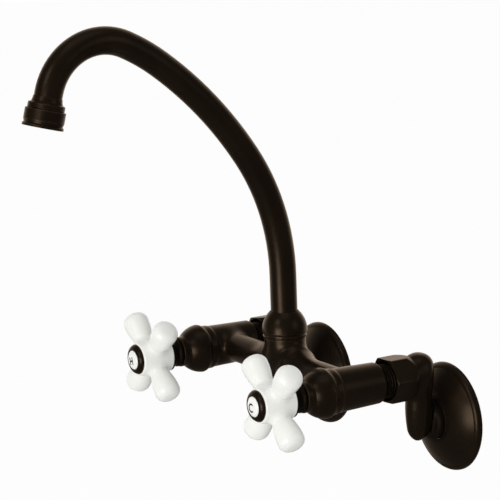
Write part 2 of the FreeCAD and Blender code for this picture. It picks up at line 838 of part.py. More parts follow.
def valve(side, way):
    """Ring, bonnet and cartridge of one valve.  Heights are distances from the wall."""
    place = {"turn": OUTWARD, "at_x": half_spread * way}
    turned(side + "_bonnet_ring", [
        (S.thread_radius + S.loose, barrel_front),
        (S.barrel_front_radius, barrel_front),
        (S.ring_radius, barrel_front + S.ring_foot),
        (S.ring_radius, ring_front - S.ring_edge),
        (S.ring_radius - S.ring_edge, ring_front),
        (S.thread_radius + S.loose, ring_front),
    ], **place)

    throat = bonnet_back + S.bonnet_throat
    neck_low = bonnet_front - S.bonnet_neck_length
    sleeve_hole = S.sleeve_radius + S.fit
    wall = S.bonnet_wall
    turned(side + "_bonnet", [
        (S.bonnet_back_radius - S.bonnet_lip, bonnet_back),
        (S.bonnet_back_radius, bonnet_back),
        (S.bonnet_radius, bonnet_back + S.bonnet_belly, S.bonnet_rim_curve, 1),
        (S.bonnet_throat_radius, throat, S.bonnet_dome, 1),
        (S.bonnet_neck_radius, neck_low, S.bonnet_neck_curve, -1),
        (S.bonnet_neck_radius, bonnet_front - S.bonnet_neck_edge),
        (S.bonnet_neck_radius - S.bonnet_neck_edge, bonnet_front),
        (sleeve_hole, bonnet_front),
        (sleeve_hole, throat - wall),
        (S.bonnet_throat_radius - wall, throat - wall),
        (S.bonnet_radius - wall, bonnet_back + S.bonnet_belly, S.bonnet_dome - wall, -1),
    ], **place)

    fixed_low = seat + S.seat_seal_thick
    fixed_top = fixed_low + S.disc_thick
    turning_low = fixed_top + S.fit
    turning_top = turning_low + S.disc_thick
    driver_top = turning_top + S.driver_thick
    chamber_top = driver_top + S.running
    basket = seat + S.basket_gap
    hex_low = ring_front + S.gasket_thick
    hex_top = hex_low + S.hex_thick
    sleeve_end = hex_top + S.sleeve_length
    stem_hole = S.stem_radius + S.running

    turned(side + "_seat_seal", tube_outline(S.waterway_radius, S.disc_radius, seat, fixed_low), **place)
    turned(side + "_cartridge_gasket", tube_outline(
        S.thread_radius + S.fit, S.hex_across / 2, ring_front, hex_low), **place)

    body = new_body(side + "_cartridge", **place)
    profile = new_sketch(body, side + "_cartridge_profile")
    outline(profile, [
        (0, basket),
        (S.cartridge_radius, basket),
        (S.cartridge_radius, thread_end),
        (S.thread_radius, thread_end),
        (S.thread_radius, hex_low),
        (S.hex_across / 2, hex_low),
        (S.hex_across / 2, hex_top),
        (S.sleeve_radius, hex_top),
        (S.sleeve_radius, sleeve_end),
        (0, sleeve_end),
    ])
    revolve(body, side + "_cartridge_turned", profile)
    flats = new_sketch(body, side + "_cartridge_flats", "XY_Plane", shift_z=hex_low)
    hexagon(flats, S.hex_across)
    pad(body, side + "_cartridge_hexagon", flats, S.hex_thick)
    drilled(body, side + "_cartridge_bore", [
        (0, basket - OVER),
        (S.chamber_radius, basket - OVER),
        (S.chamber_radius, chamber_top),
        (stem_hole, chamber_top),
        (stem_hole, sleeve_end + OVER),
        (0, sleeve_end + OVER),
    ])
    window = new_sketch(body, side + "_cartridge_window")
    half_window = S.window_width / 2
    window_low = turning_low + S.window_rise
    outline(window, box_outline(-half_window, half_window, window_low, window_low + S.window_length))
    cut_through(body, side + "_cartridge_windows", window)

    for name, low, along_x in (("fixed_disc", fixed_low, True), ("turning_disc", turning_low, False)):
        disc_top = low + S.disc_thick
        disc = turned("%s_%s" % (side, name), [
            (0, low), (S.disc_radius, low), (S.disc_radius, disc_top), (0, disc_top)], **place)
        ports = new_sketch(disc, "%s_%s_ports" % (side, name), "XY_Plane", shift_z=low)
        for sign in (-1, 1):
            offset = S.port_offset * sign
            circle(ports, offset if along_x else 0, 0 if along_x else offset, S.port_radius)
        cut_through(disc, "%s_%s_cut" % (side, name), ports)

    groove_floor = S.stem_radius - 2 * S.seal_section + S.fit
    groove_half = S.seal_section + S.groove_room
    upper_seal = sleeve_end - S.stem_seal_depth
    lower_seal = upper_seal - S.stem_seal_spacing
    clip_low = sleeve_end + S.running
    clip_top = clip_low + S.clip_thick
    clip_floor = S.stem_radius - S.clip_groove
    shoulder = clip_top + S.stem_shoulder
    spline_end = shoulder + S.spline_length
    stem = [(0, turning_top), (S.disc_radius, turning_top), (S.disc_radius, driver_top)]
    stem += [(S.stem_radius, driver_top)]
    for level in (lower_seal, upper_seal):
        stem += [
            (S.stem_radius, level - groove_half),
            (groove_floor, level - groove_half),
            (groove_floor, level + groove_half),
            (S.stem_radius, level + groove_half),
        ]
    screw_hole = S.screw_radius + S.fit
    hole_end = spline_end - S.screw_length - S.screw_room
    stem += [
        (S.stem_radius, clip_low - S.fit),
        (clip_floor, clip_low - S.fit),
        (clip_floor, clip_top + S.fit),
        (S.stem_radius, clip_top + S.fit),
        (S.stem_radius, shoulder),
        (S.spline_radius, shoulder),
        (S.spline_radius, spline_end),
        (screw_hole, spline_end),
        (screw_hole, hole_end),
        (0, hole_end),
    ]
    turned(side + "_stem", stem, **place)
    seal_middle = groove_floor + S.seal_section
    seal_group(side + "_stem_seals", seal_middle, S.seal_section, (lower_seal, upper_seal), **place)

    clip = new_body(side + "_stem_clip", **place)
    wire = new_sketch(clip, side + "_stem_clip_section")
    outline(wire, tube_outline(clip_floor + S.fit, S.clip_radius, clip_low, clip_top))
    bent = revolve(clip, side + "_stem_clip_bent", wire)
    bind(bent, "Angle", S.clip_bend_angle)
    return spline_end


# ---------------------------------------------------------------- handles


def handle(side, way, spline_end):
    """Everything that turns in the hand: metal core, porcelain cross, screw and index."""
    place = {"turn": OUTWARD, "at_x": half_spread * way}
    spline_hole = S.spline_radius + S.fit
    web_low = spline_end + S.screw_seat_gap
    web_top = web_low + S.core_web
    screw_hole = S.screw_radius + S.fit
    pocket = S.screw_head_radius + S.loose
    core_end = porcelain_front - S.core_short
    bead_low = skirt_back + S.skirt_bead_edge
    bead_top = bead_low + S.skirt_bead
    waist_low = bead_top + S.skirt_step
    waist = waist_low + S.skirt_waist
    turned(side + "_handle_core", [
        (spline_hole, skirt_back),
        (S.skirt_bead_radius - S.skirt_bead_edge, skirt_back),
        (S.skirt_bead_radius, bead_low),
        (S.skirt_bead_radius, bead_top),
        (S.skirt_waist_radius, waist_low),
        (S.skirt_waist_radius, waist),
        (S.skirt_rim_radius, porcelain_back - S.skirt_rim, S.skirt_curve, -1),
        (S.skirt_rim_radius, porcelain_back),
        (S.core_radius, porcelain_back),
        (S.core_radius, core_end),
        (pocket, core_end),
        (pocket, web_top),
        (screw_hole, web_top),
        (screw_hole, web_low),
        (spline_hole, web_low),
    ], **place)

    head_top = web_top + S.screw_head_height
    screw_tip = spline_end - S.screw_length
    screw = turned(side + "_handle_screw", [
        (0, screw_tip),
        (S.screw_radius, screw_tip),
        (S.screw_radius, web_top),
        (S.screw_head_radius, web_top),
        (S.screw_head_radius, web_top + S.screw_head_side),
        (0, head_top, S.screw_crown, 1),
    ], **place)
    slot = new_sketch(screw, side + "_screw_slot_outline")
    half_slot = S.screw_slot_width / 2
    outline(slot, box_outline(-half_slot, half_slot, head_top - S.screw_slot_depth, head_top + OVER))
    cut_through(screw, side + "_screw_slot", slot)

    cross = FreeCAD.Rotation(FreeCAD.Vector(0, 0, 1), SIZES["cross_angle"])
    body = new_body(side + "_handle", turn=OUTWARD.multiply(cross), at_x=half_spread * way)
    hole = S.core_radius + S.loose
    edge = S.porcelain_edge
    counterbore = porcelain_front - S.counterbore_depth
    hub = new_sketch(body, side + "_porcelain_profile")
    outline(hub, [
        (0, porcelain_back + S.fit),
        (S.porcelain_back_radius - edge, porcelain_back + S.fit),
        (S.porcelain_back_radius, porcelain_back + edge, S.porcelain_back_edge, 1),
        (S.porcelain_hub_radius, porcelain_back + S.lobe_level, S.porcelain_side_curve, 1),
        (S.porcelain_front_radius, porcelain_front - edge, S.porcelain_side_curve, 1),
        (S.porcelain_front_radius - edge, porcelain_front, edge, 1),
        (0, porcelain_front),
    ])
    revolve(body, side + "_porcelain_hub", hub)
    cap_centre = S.lobe_reach - S.lobe_end_curve
    corner_from = S.lobe_end_curve - S.lobe_corner
    cap_cos = S.lobe_cap_angle.cos()
    cap_sin = S.lobe_cap_angle.sin()
    widest = cap_centre + corner_from * cap_cos
    lobe_radius = corner_from * cap_sin + S.lobe_corner
    lobe_profile = new_sketch(body, side + "_lobe_profile", "XY_Plane", shift_z=porcelain_back + S.lobe_level)
    outline(lobe_profile, [
        (0, 0),
        (S.lobe_reach, 0),
        (cap_centre + S.lobe_end_curve * cap_cos, S.lobe_end_curve * cap_sin, S.lobe_end_curve, 1),
        (widest, lobe_radius, S.lobe_corner, 1),
        (S.lobe_neck, S.lobe_neck_radius, S.lobe_side_curve, 1),
        (0, S.lobe_neck_radius),
    ])
    lobe = revolve(body, side + "_lobe", lobe_profile, "H_Axis")
    lobes = body.newObject("PartDesign::PolarPattern", side + "_lobes")
    lobes.Originals = [lobe]
    lobes.Axis = (lobe_profile, ["N_Axis"])
    lobes.Angle = 360
    lobes.Occurrences = SIZES["lobe_count"]
    body.Tip = lobes
    drilled(body, side + "_porcelain_bore", [
        (0, porcelain_back - OVER),
        (hole, porcelain_back - OVER),
        (hole, counterbore),
        (S.counterbore_radius, counterbore),
        (S.counterbore_radius, porcelain_front + OVER),
        (0, porcelain_front + OVER),
    ])

    index_back = porcelain_front + S.fit
    button_seat = index_back + S.index_height - S.button_seat_depth
    sleeve = S.counterbore_radius - S.loose
    sleeve_end = counterbore + S.index_sleeve_gap
    button_hole = S.button_radius + S.fit
    index_top = index_back + S.index_height
    turned(side + "_index_ring", [
        (S.core_radius + S.fit, sleeve_end),
        (sleeve, sleeve_end),
        (sleeve, index_back),
        (S.index_radius, index_back),
        (S.index_radius, index_back + S.index_side),
        (button_hole + S.index_face, index_top, S.index_dome, 1),
        (button_hole, index_top - S.index_inner_edge),
        (button_hole, button_seat),
        (S.core_radius + S.fit, button_seat),
    ], **place)
    rim = button_seat + S.button_rim
    face = button_seat + S.button_height
    turned(side + "_index_button", [
        (0, button_seat),
        (S.button_radius, button_seat),
        (S.button_radius, rim),
        (S.button_flat, face, S.button_dome, 1),
        (0, face),
    ], **place)

    mark = new_body(side + "_index_mark", **place)
    letter = new_sketch(mark, side + "_letter", "XY_Plane", shift_z=face)
    tall = S.mark_height / 2
    wide = S.mark_width / 2
    stroke = S.mark_stroke
    bar = stroke / 2
    if side == "hot":
        outline(letter, [
            (-wide, -tall), (stroke - wide, -tall), (stroke - wide, -bar), (wide - stroke, -bar),
            (wide - stroke, -tall), (wide, -tall), (wide, tall), (wide - stroke, tall),
            (wide - stroke, bar), (stroke - wide, bar), (stroke - wide, tall), (-wide, tall),
        ])
    else:
        inner = tall - stroke
        out_x = tall * S.mark_opening_angle.cos()
        out_y = tall * S.mark_opening_angle.sin()
        in_x = inner * S.mark_opening_angle.cos()
        in_y = inner * S.mark_opening_angle.sin()
        outline(letter, [
            (out_x, out_y), (-tall, 0, tall, 1), (out_x, -out_y, tall, 1),
            (in_x, -in_y), (-inner, 0, inner, -1), (in_x, in_y, inner, -1),
        ])
    pad(mark, side + "_letter_pad", letter, S.mark_thick)


# ---------------------------------------------------------------- unions, arms and flanges


def supply(side, way):
    """Union nut, washer, offset arm and flange of one side.  Heights are distances from the wall."""
    place = {"turn": OUTWARD, "at_x": half_spread * way}
    turned(side + "_union_washer", tube_outline(
        S.waterway_radius, S.neck_radius - S.loose, tail_face, neck_end), **place)

    nut_low = arm_front + S.nut_gap
    nut_high = nut_low + S.nut_length
    nut_bore = S.neck_radius + S.fit
    lip_top = nut_low + S.nut_lip
    turn = FreeCAD.Rotation(FreeCAD.Vector(0, 0, 1), -SIZES[side + "_nut_angle"])
    nut = new_body(side + "_coupling_nut", turn=OUTWARD.multiply(turn), at_x=half_spread * way)
    flats = new_sketch(nut, side + "_nut_flats", "XY_Plane", shift_z=nut_low)
    hexagon(flats, S.nut_across)
    pad(nut, side + "_nut_bar", flats, S.nut_length)
    corner = S.nut_across / SQRT3
    outside = corner + OVER
    drilled(nut, side + "_nut_back_taper", [
        (S.nut_back_radius, nut_low - OVER),
        (outside, nut_low - OVER),
        (outside, nut_low + S.nut_back_taper),
        (corner, nut_low + S.nut_back_taper),
        (S.nut_back_radius, nut_low),
    ])
    bevel = corner - S.nut_face_radius
    drilled(nut, side + "_nut_front_bevel", [
        (S.nut_face_radius, nut_high),
        (corner, nut_high - bevel / 2),
        (outside, nut_high - bevel / 2),
        (outside, nut_high + OVER),
        (S.nut_face_radius, nut_high + OVER),
    ])
    drilled(nut, side + "_nut_bore", [
        (0, nut_low - OVER),
        (S.tail_radius + S.loose, nut_low - OVER),
        (S.tail_radius + S.loose, lip_top),
        (nut_bore, lip_top),
        (nut_bore, nut_high - S.nut_relief),
        (S.nut_relief_radius, nut_high - S.nut_relief),
        (S.nut_relief_radius, nut_high + OVER),
        (0, nut_high + OVER),
    ])

    lean = FreeCAD.Rotation(FreeCAD.Vector(0, 1, 0), SIZES["arm_lean_angle"] * way)
    arm = new_body(side + "_offset_arm", turn=lean.multiply(OUTWARD), at_x=half_spread * way)
    edge = S.arm_boss_edge
    boss = new_sketch(arm, side + "_boss_profile")
    outline(boss, [
        (0, S.arm_back),
        (S.arm_boss_radius - edge, S.arm_back),
        (S.arm_boss_radius, S.arm_back + edge, edge, 1),
        (S.arm_boss_radius, arm_front - S.arm_boss_bevel),
        (S.arm_boss_radius - S.arm_boss_bevel, arm_front),
        (S.tail_radius, arm_front),
        (S.tail_radius, lip_top + S.loose),
        (S.tail_collar_radius, lip_top + S.loose),
        (S.tail_collar_radius, tail_face),
        (0, tail_face),
    ])
    revolve(arm, side + "_boss", boss)
    leg = new_sketch(arm, side + "_leg_profile", "XY_Plane", shift_z=S.leg_distance)
    crown_edge = S.leg_crown_edge
    outline(leg, [
        (0, -S.leg_end),
        (S.leg_end_flat, -S.leg_end),
        (S.leg_toe_radius, -S.leg_toe, S.leg_end_curve, 1),
        (S.leg_radius, -S.leg_taper_start, S.leg_side_curve, 1),
        (S.leg_radius, S.leg_crown - crown_edge),
        (S.leg_radius - crown_edge, S.leg_crown, crown_edge, 1),
        (0, S.leg_crown),
    ])
    revolve(arm, side + "_leg", leg)
    shank_end = S.shank_gap + S.shank_length
    shank = new_sketch(arm, side + "_shank_profile", shift_z=S.arm_offset)
    outline(shank, [
        (0, S.shank_gap),
        (S.shank_radius, S.shank_gap),
        (S.shank_radius, shank_end - S.shank_edge),
        (S.shank_radius - S.shank_edge, shank_end, S.shank_edge, 1),
        (0, shank_end),
    ])
    revolve(arm, side + "_shank", shank)
    drilled(arm, side + "_tail_bore", [
        (0, S.leg_distance), (S.waterway_radius, S.leg_distance),
        (S.waterway_radius, tail_face + OVER), (0, tail_face + OVER),
    ])
    drilled(arm, side + "_leg_bore", [
        (0, -S.arm_offset), (S.leg_bore_radius, -S.arm_offset), (S.leg_bore_radius, 0), (0, 0),
    ], "XY_Plane", shift_z=S.leg_distance)
    inlet_end = S.shank_gap + S.inlet_length
    drilled(arm, side + "_inlet", [
        (0, S.shank_gap - OVER),
        (S.inlet_radius, S.shank_gap - OVER),
        (S.inlet_radius, inlet_end),
        (S.waterway_radius, inlet_end),
        (S.waterway_radius, S.leg_distance),
        (0, S.leg_distance),
    ], shift_z=S.arm_offset)

    wall = S.flange_wall
    hole = S.shank_radius + S.loose
    dome_end = S.flange_height - S.flange_collar_edge
    inside_x = (half_spread - S.arm_offset * S.arm_lean_angle.sin()) * way
    turned(side + "_flange", [
        (S.flange_radius - wall, 0),
        (S.flange_radius, 0),
        (S.flange_radius, S.flange_rim),
        (S.flange_crease_radius, S.flange_crease, S.flange_rim_curve, 1),
        (S.flange_collar_radius, dome_end, S.flange_dome, 1),
        (S.flange_collar_radius - S.flange_collar_edge, S.flange_height, S.flange_collar_edge, 1),
        (hole, S.flange_height),
        (hole, dome_end - wall),
        (S.flange_collar_radius, dome_end - wall),
        (S.flange_crease_radius - wall, S.flange_crease - wall, S.flange_dome - wall, -1),
    ], OUTWARD, at_x=inside_x, at_z=-S.arm_offset * S.arm_lean_angle.cos())


# ---------------------------------------------------------------- build and write

cast_body()
spout_joint()
spout_tube()
spout_tip()
for side, way in (("hot", -1), ("cold", 1)):
    end_of_spline = valve(side, way)
    handle(side, way, end_of_spline)
    supply(side, way)

doc.recompute()

faults = []
for thing in doc.Objects:
    if "Invalid" in thing.State or "Error" in thing.State:
        faults.append("%s is %s" % (thing.Name, thing.State))
for node in nodes:
    if node.Shape.isNull() or not node.Shape.isValid():
        faults.append("%s has no valid shape" % node.Label)
    elif node.Shape.Volume <= 0:
        faults.append("%s has no volume" % node.Label)
if faults:
    raise SystemExit("\n".join(faults))

os.makedirs("parts", exist_ok=True)
for node in nodes:
    node.Shape.exportStep("parts/%s.step" % node.Label)
print("%d nodes" % len(nodes))
for node in nodes:
    print("%-24s %2d solid %10.1f mm3" % (node.Label, len(node.Shape.Solids), node.Shape.Volume))
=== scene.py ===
import json
import math

import bmesh
import bpy
import numpy as np
from mathutils import Matrix, Vector

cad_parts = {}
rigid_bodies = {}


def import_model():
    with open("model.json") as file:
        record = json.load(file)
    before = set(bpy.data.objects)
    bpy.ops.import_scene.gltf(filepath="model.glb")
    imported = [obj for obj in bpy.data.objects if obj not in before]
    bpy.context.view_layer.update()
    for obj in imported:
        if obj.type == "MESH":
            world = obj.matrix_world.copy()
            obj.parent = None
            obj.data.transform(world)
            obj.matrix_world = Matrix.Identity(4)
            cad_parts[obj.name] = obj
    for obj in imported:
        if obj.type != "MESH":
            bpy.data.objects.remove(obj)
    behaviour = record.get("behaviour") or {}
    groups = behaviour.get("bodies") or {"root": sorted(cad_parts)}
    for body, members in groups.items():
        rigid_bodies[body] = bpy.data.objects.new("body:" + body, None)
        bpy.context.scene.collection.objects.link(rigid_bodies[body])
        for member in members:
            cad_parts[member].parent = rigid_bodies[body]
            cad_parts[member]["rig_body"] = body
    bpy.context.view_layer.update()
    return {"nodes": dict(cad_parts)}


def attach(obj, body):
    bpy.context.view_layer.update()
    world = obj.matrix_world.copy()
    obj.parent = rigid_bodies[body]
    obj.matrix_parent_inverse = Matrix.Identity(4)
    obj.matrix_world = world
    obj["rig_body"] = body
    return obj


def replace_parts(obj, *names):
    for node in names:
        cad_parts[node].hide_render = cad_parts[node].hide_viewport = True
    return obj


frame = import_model()
nodes = frame["nodes"]
scene = bpy.context.scene
scene.view_settings.view_transform = "Standard"
MM = 0.001

# ------------------------------------------------------------------ camera
# A long lens on the cold side, a little over the valves, so that the spout's tip comes nearest to it and
# the flanges are seen almost edge on.
AZIMUTH, ELEVATION, ROLL = map(math.radians, (58.763, 11.334, -2.109))
LENS_MM = 168.62
SENSOR_MM = 36.0
DISTANCE = 1.55083
TARGET = Vector((-0.036172, -0.080, 0.071513))


def direction(azimuth, elevation):
    """Unit vector from the faucet, an azimuth to the right of straight out from the wall, in radians."""
    level = math.cos(elevation)
    return Vector((math.sin(azimuth) * level, -math.cos(azimuth) * level, math.sin(elevation)))


towards_lens = direction(AZIMUTH, ELEVATION)
level_right = (-towards_lens).cross(Vector((0, 0, 1))).normalized()
level_up = level_right.cross(-towards_lens)
lens_right = level_right * math.cos(ROLL) + level_up * math.sin(ROLL)
lens_up = level_up * math.cos(ROLL) - level_right * math.sin(ROLL)
lens_turn = Matrix((lens_right, lens_up, towards_lens)).transposed().to_4x4()

camera = bpy.data.objects.new("camera", bpy.data.cameras.new("camera"))
camera.data.lens = LENS_MM
camera.data.sensor_width = SENSOR_MM
camera.data.clip_start = 0.05
camera.data.clip_end = 20
camera.matrix_world = Matrix.Translation(TARGET + towards_lens * DISTANCE) @ lens_turn
scene.collection.objects.link(camera)
scene.camera = camera

# ------------------------------------------------------------------ room
# A white studio: the wall side is white paper, and the room behind the viewer is dim.  Soft lamps stand in
# front of the faucet and over it, and a sheet of white paper lies well below the flanges and behind them.
ROOM_ON_PAINT = 0.65
ROOM_BEHIND = 1.0
ROOM_SEEN = 0.992
ROOM_IN_FRONT = 0.10
ROOM_TURNS = (0.25, 0.9)         # how squarely a ray looks at the wall as the room turns white
LAMPS = (                        # azimuth, elevation, distance, width, radiance
    ("front_lamp", 24, -4, 1.8, 0.85, 5.4),
    ("upper_lamp", 13, 34, 1.7, 0.5, 2.4),
    ("overhead_lamp", 60, 78, 1.5, 1.1, 0.45),
    ("side_lamp", 118, 20, 1.9, 0.8, 0.5),
)
LAMPS_LOOK_AT = Vector((0, -0.09, 0.06))
FLOOR_Z = -0.35
FLOOR_AWAY = 3.0
FLOOR_HALF = 3.6
FLOOR_DIM, FLOOR_BRIGHT = 0.2, 1.5   # metres past the faucet, between which its reflection turns white
PAPER_GLOW = 0.95


def wire(tree, kind, settings=(), **inputs):
    """A new node.  Inputs are given by name, or by number as n0, n1, as values or as sockets to link."""
    node = tree.nodes.new(kind)
    for name, value in dict(settings).items():
        setattr(node, name, value)
    for name, value in inputs.items():
        socket = node.inputs[int(name[1:]) if name[1:].isdigit() else name.replace("_", " ")]
        if isinstance(value, bpy.types.NodeSocket):
            tree.links.new(value, socket)
        else:
            socket.default_value = value
    return node


world = bpy.data.worlds.new("studio")
scene.world = world
world.use_nodes = True
tree = world.node_tree
tree.nodes.clear()
looking = wire(tree, "ShaderNodeTexCoord").outputs["Generated"]
wall_side = wire(tree, "ShaderNodeVectorMath", {"operation": "DOT_PRODUCT"}, n0=looking, n1=-towards_lens)
room = wire(tree, "ShaderNodeMapRange", {"interpolation_type": "SMOOTHSTEP"},
            Value=wall_side.outputs["Value"], From_Min=ROOM_TURNS[0], From_Max=ROOM_TURNS[1],
            To_Min=ROOM_IN_FRONT, To_Max=ROOM_BEHIND)
ray = wire(tree, "ShaderNodeLightPath").outputs
straight = wire(tree, "ShaderNodeMath", {"operation": "MAXIMUM"}, n0=ray["Is Camera Ray"],
                n1=ray["Is Transmission Ray"])
lit = wire(tree, "ShaderNodeMix", {"data_type": "FLOAT"}, n0=ray["Is Glossy Ray"], n2=ROOM_ON_PAINT,
           n3=room.outputs[0])
seen = wire(tree, "ShaderNodeMix", {"data_type": "FLOAT"}, n0=straight.outputs[0], n2=lit.outputs[0],
            n3=ROOM_SEEN)
white = wire(tree, "ShaderNodeBackground", Color=(1, 1, 1, 1), Strength=seen.outputs[0])
wire(tree, "ShaderNodeOutputWorld", Surface=white.outputs[0])

for name, azimuth, elevation, distance, width, radiance in LAMPS:
    lamp = bpy.data.objects.new(name, bpy.data.lights.new(name, "AREA"))
    lamp.data.shape = "SQUARE"
    lamp.data.size = width
    lamp.data.energy = radiance * math.pi * width * width
    way = direction(math.radians(azimuth), math.radians(elevation))
    lamp.location = LAMPS_LOOK_AT + way * distance
    lamp.rotation_euler = way.to_track_quat("Z", "Y").to_euler()
    scene.collection.objects.link(lamp)

floor = bpy.data.objects.new("floor", bpy.data.meshes.new("floor"))
away = -Vector((towards_lens.x, towards_lens.y, 0)).normalized()
sheet_corners = []
for forth, across in ((-1, 1), (-1, -1), (1, -1), (1, 1)):
    corner = away * (FLOOR_AWAY + FLOOR_HALF * forth) + level_right * FLOOR_HALF * across
    sheet_corners.append((corner.x, corner.y, FLOOR_Z))
floor.data.from_pydata(sheet_corners, [], [(0, 1, 2, 3)])
scene.collection.objects.link(floor)

paper = bpy.data.materials.new("white_paper")
paper.use_nodes = True
tree = paper.node_tree
fibres = wire(tree, "ShaderNodeTexNoise", Scale=40.0, Detail=6.0)
paper_tone = wire(tree, "ShaderNodeMapRange", Value=fibres.outputs["Fac"], To_Min=0.88, To_Max=0.93)
sheet = wire(tree, "ShaderNodeBsdfDiffuse", Color=paper_tone.outputs[0])
spot = wire(tree, "ShaderNodeTexCoord").outputs["Object"]
gone = wire(tree, "ShaderNodeVectorMath", {"operation": "DOT_PRODUCT"}, n0=spot, n1=away)
ray = wire(tree, "ShaderNodeLightPath").outputs
far = wire(tree, "ShaderNodeMapRange", {"interpolation_type": "SMOOTHSTEP"}, Value=gone.outputs["Value"],
           From_Min=FLOOR_DIM, From_Max=FLOOR_BRIGHT, To_Min=ROOM_IN_FRONT, To_Max=ROOM_BEHIND)
bright = wire(tree, "ShaderNodeMix", {"data_type": "FLOAT"}, n0=ray["Is Glossy Ray"], n2=1.0,
              n3=far.outputs[0])
glow = wire(tree, "ShaderNodeEmission", Color=(1, 1, 1, 1), Strength=bright.outputs[0])
direct = wire(tree, "ShaderNodeMath", {"operation": "MAXIMUM"}, n0=ray["Is Camera Ray"],
              n1=ray["Is Glossy Ray"])
share = wire(tree, "ShaderNodeMath", {"operation": "MULTIPLY"}, n0=direct.outputs[0], n1=PAPER_GLOW)
both = wire(tree, "ShaderNodeMixShader", n0=share.outputs[0], n1=sheet.outputs[0], n2=glow.outputs[0])
tree.links.new(both.outputs[0], tree.nodes["Material Output"].inputs["Surface"])
tree.nodes.remove(tree.nodes["Principled BSDF"])
floor.data.materials.append(paper)

# ------------------------------------------------------------------ cast body
# One brass casting: two tapered barrels for the valves, the bridge between them and the hub that carries
# the spout, all run together in soft fillets.  It is oil-rubbed: a nearly black bronze with a warm sheen.
BRONZE_SHADE = (0.0086, 0.0056, 0.0034)
BRONZE_TONE = (0.0132, 0.0085, 0.0050)
BRONZE_WORN = (0.075, 0.046, 0.028)
BRONZE_GLOSS = 0.31
BRONZE_SHEEN = (1.0, 0.70, 0.46)
PATINA_METAL = 0.5
# painted shade: the near-black colour that stands for the shade in hollows between parts
PAINTED_SHADE_BLACK = (0.002, 0.0016, 0.0012)
PAINTED_SHADE_DULL = 0.3                # added to the roughness where shade is painted near black
WEAR_BAND = 0.5                  # mm, from a rubbed edge to the patina
SMOOTH_TURN = math.radians(14)   # corners that turn less are part of a smooth curve
EDGE_STEPS = 5
SKIN = 0.02 * MM                 # how near the castings' skin a point counts as on it
SIDES = (("hot", -1), ("cold", 1))
HALF_SPREAD = 76.2
BRIDGE_LINE = 77.6
NECK_END = 41.0
NECK_ROOT = 10.2
NECK_CREST = 11.0
THREAD_PITCH = 1.814
THREAD_STEPS = 72                # to a turn
THREAD_RUN_OUT = 18              # steps over which it fades at its ends
THREAD_ROOTED = 0.2              # how deep its foot goes into the neck
BARREL_BACK = 58.6
BARREL_FRONT = 90.6
HUB_TOP = 18.2
HUB_NECK_TOP = 26.0
HUB_NECK = 12.6
SOCKET = 11.2
SEAT = 67.0
THREAD_END = 83.1
BODY_FILLET = 5 * MM
BODY_VOXEL = 0.7 * MM


def bronze_finish(name, shade=BRONZE_SHADE, tone=BRONZE_TONE, rough=BRONZE_GLOSS, wear=0.45):
    """Dark patina on metal: cloudy brown tone, fine grain, warmer rubbed edges, and painted shade that turns
    it near black where marked.
    """
    finish = bpy.data.materials.new(name)
    finish.use_nodes = True
    tree = finish.node_tree
    metal = tree.nodes["Principled BSDF"]
    metal.inputs["Metallic"].default_value = PATINA_METAL
    metal.inputs["Specular Tint"].default_value = (*BRONZE_SHEEN, 1)
    place = wire(tree, "ShaderNodeTexCoord").outputs["Object"]
    cloud = wire(tree, "ShaderNodeTexNoise", Vector=place, Scale=34.0, Detail=5.0,
                 Roughness=0.6).outputs["Fac"]
    patina = wire(tree, "ShaderNodeMapRange", {"interpolation_type": "SMOOTHSTEP"}, Value=cloud,
                  From_Min=0.34, From_Max=0.66)
    toned = wire(tree, "ShaderNodeMix", {"data_type": "RGBA"}, n0=patina.outputs[0], n6=(*shade, 1),
                 n7=(*tone, 1))
    edges = wire(tree, "ShaderNodeAttribute", {"attribute_name": "wear"}).outputs["Fac"]
    rub = wire(tree, "ShaderNodeTexNoise", Vector=place, Scale=240.0, Detail=4.0).outputs["Fac"]
    rubbed = wire(tree, "ShaderNodeMapRange", Value=rub, From_Min=0.36, From_Max=0.66, To_Max=wear)
    bare = wire(tree, "ShaderNodeMath", {"operation": "MULTIPLY"}, n0=edges, n1=rubbed.outputs[0])
    colour = wire(tree, "ShaderNodeMix", {"data_type": "RGBA"}, n0=bare.outputs[0], n6=toned.outputs[2],
                  n7=(*BRONZE_WORN, 1))
    # Painted shade: where marked, the colour turns near black and the gloss duller, for the shade in hollows
    # between parts.
    painted_shade = wire(tree, "ShaderNodeAttribute", {"attribute_name": "painted_shade"}).outputs["Fac"]
    colour = wire(tree, "ShaderNodeMix", {"data_type": "RGBA"}, n0=painted_shade, n6=colour.outputs[2],
                  n7=(*PAINTED_SHADE_BLACK, 1))
    gloss = wire(tree, "ShaderNodeMapRange", Value=cloud, From_Min=0.3, From_Max=0.7, To_Min=rough + 0.04,
                 To_Max=rough - 0.04)
    gloss = wire(tree, "ShaderNodeMath", {"operation": "MULTIPLY_ADD"}, n0=painted_shade, n1=PAINTED_SHADE_DULL,
                 n2=gloss.outputs[0])
    grain = wire(tree, "ShaderNodeTexNoise", Vector=place, Scale=1300.0, Detail=3.0).outputs["Fac"]
    bump = wire(tree, "ShaderNodeBump", Strength=0.10, Distance=0.0001, Height=grain)
    tree.links.new(colour.outputs[2], metal.inputs["Base Color"])
    tree.links.new(gloss.outputs[0], metal.inputs["Roughness"])
    tree.links.new(bump.outputs[0], metal.inputs["Normal"])
    return finish


def arc(start, end, radius, bulge):
    """Points along an arc, after its start.  A positive bulge puts the centre left of the way."""
    chord = end - start
    left = Vector((-chord.y, chord.x)).normalized()
    rise = math.sqrt(max(radius * radius - chord.length_squared / 4, 0))
    centre = (start + end) / 2 + left * rise * bulge
    turn = 2 * math.asin(min(1, chord.length / 2 / radius)) * bulge
    steps = max(3, math.ceil(abs(turn) / math.radians(4)))
    return [centre + (start - centre) @ Matrix.Rotation(-turn * (i + 1) / steps, 2) for i in range(steps)]


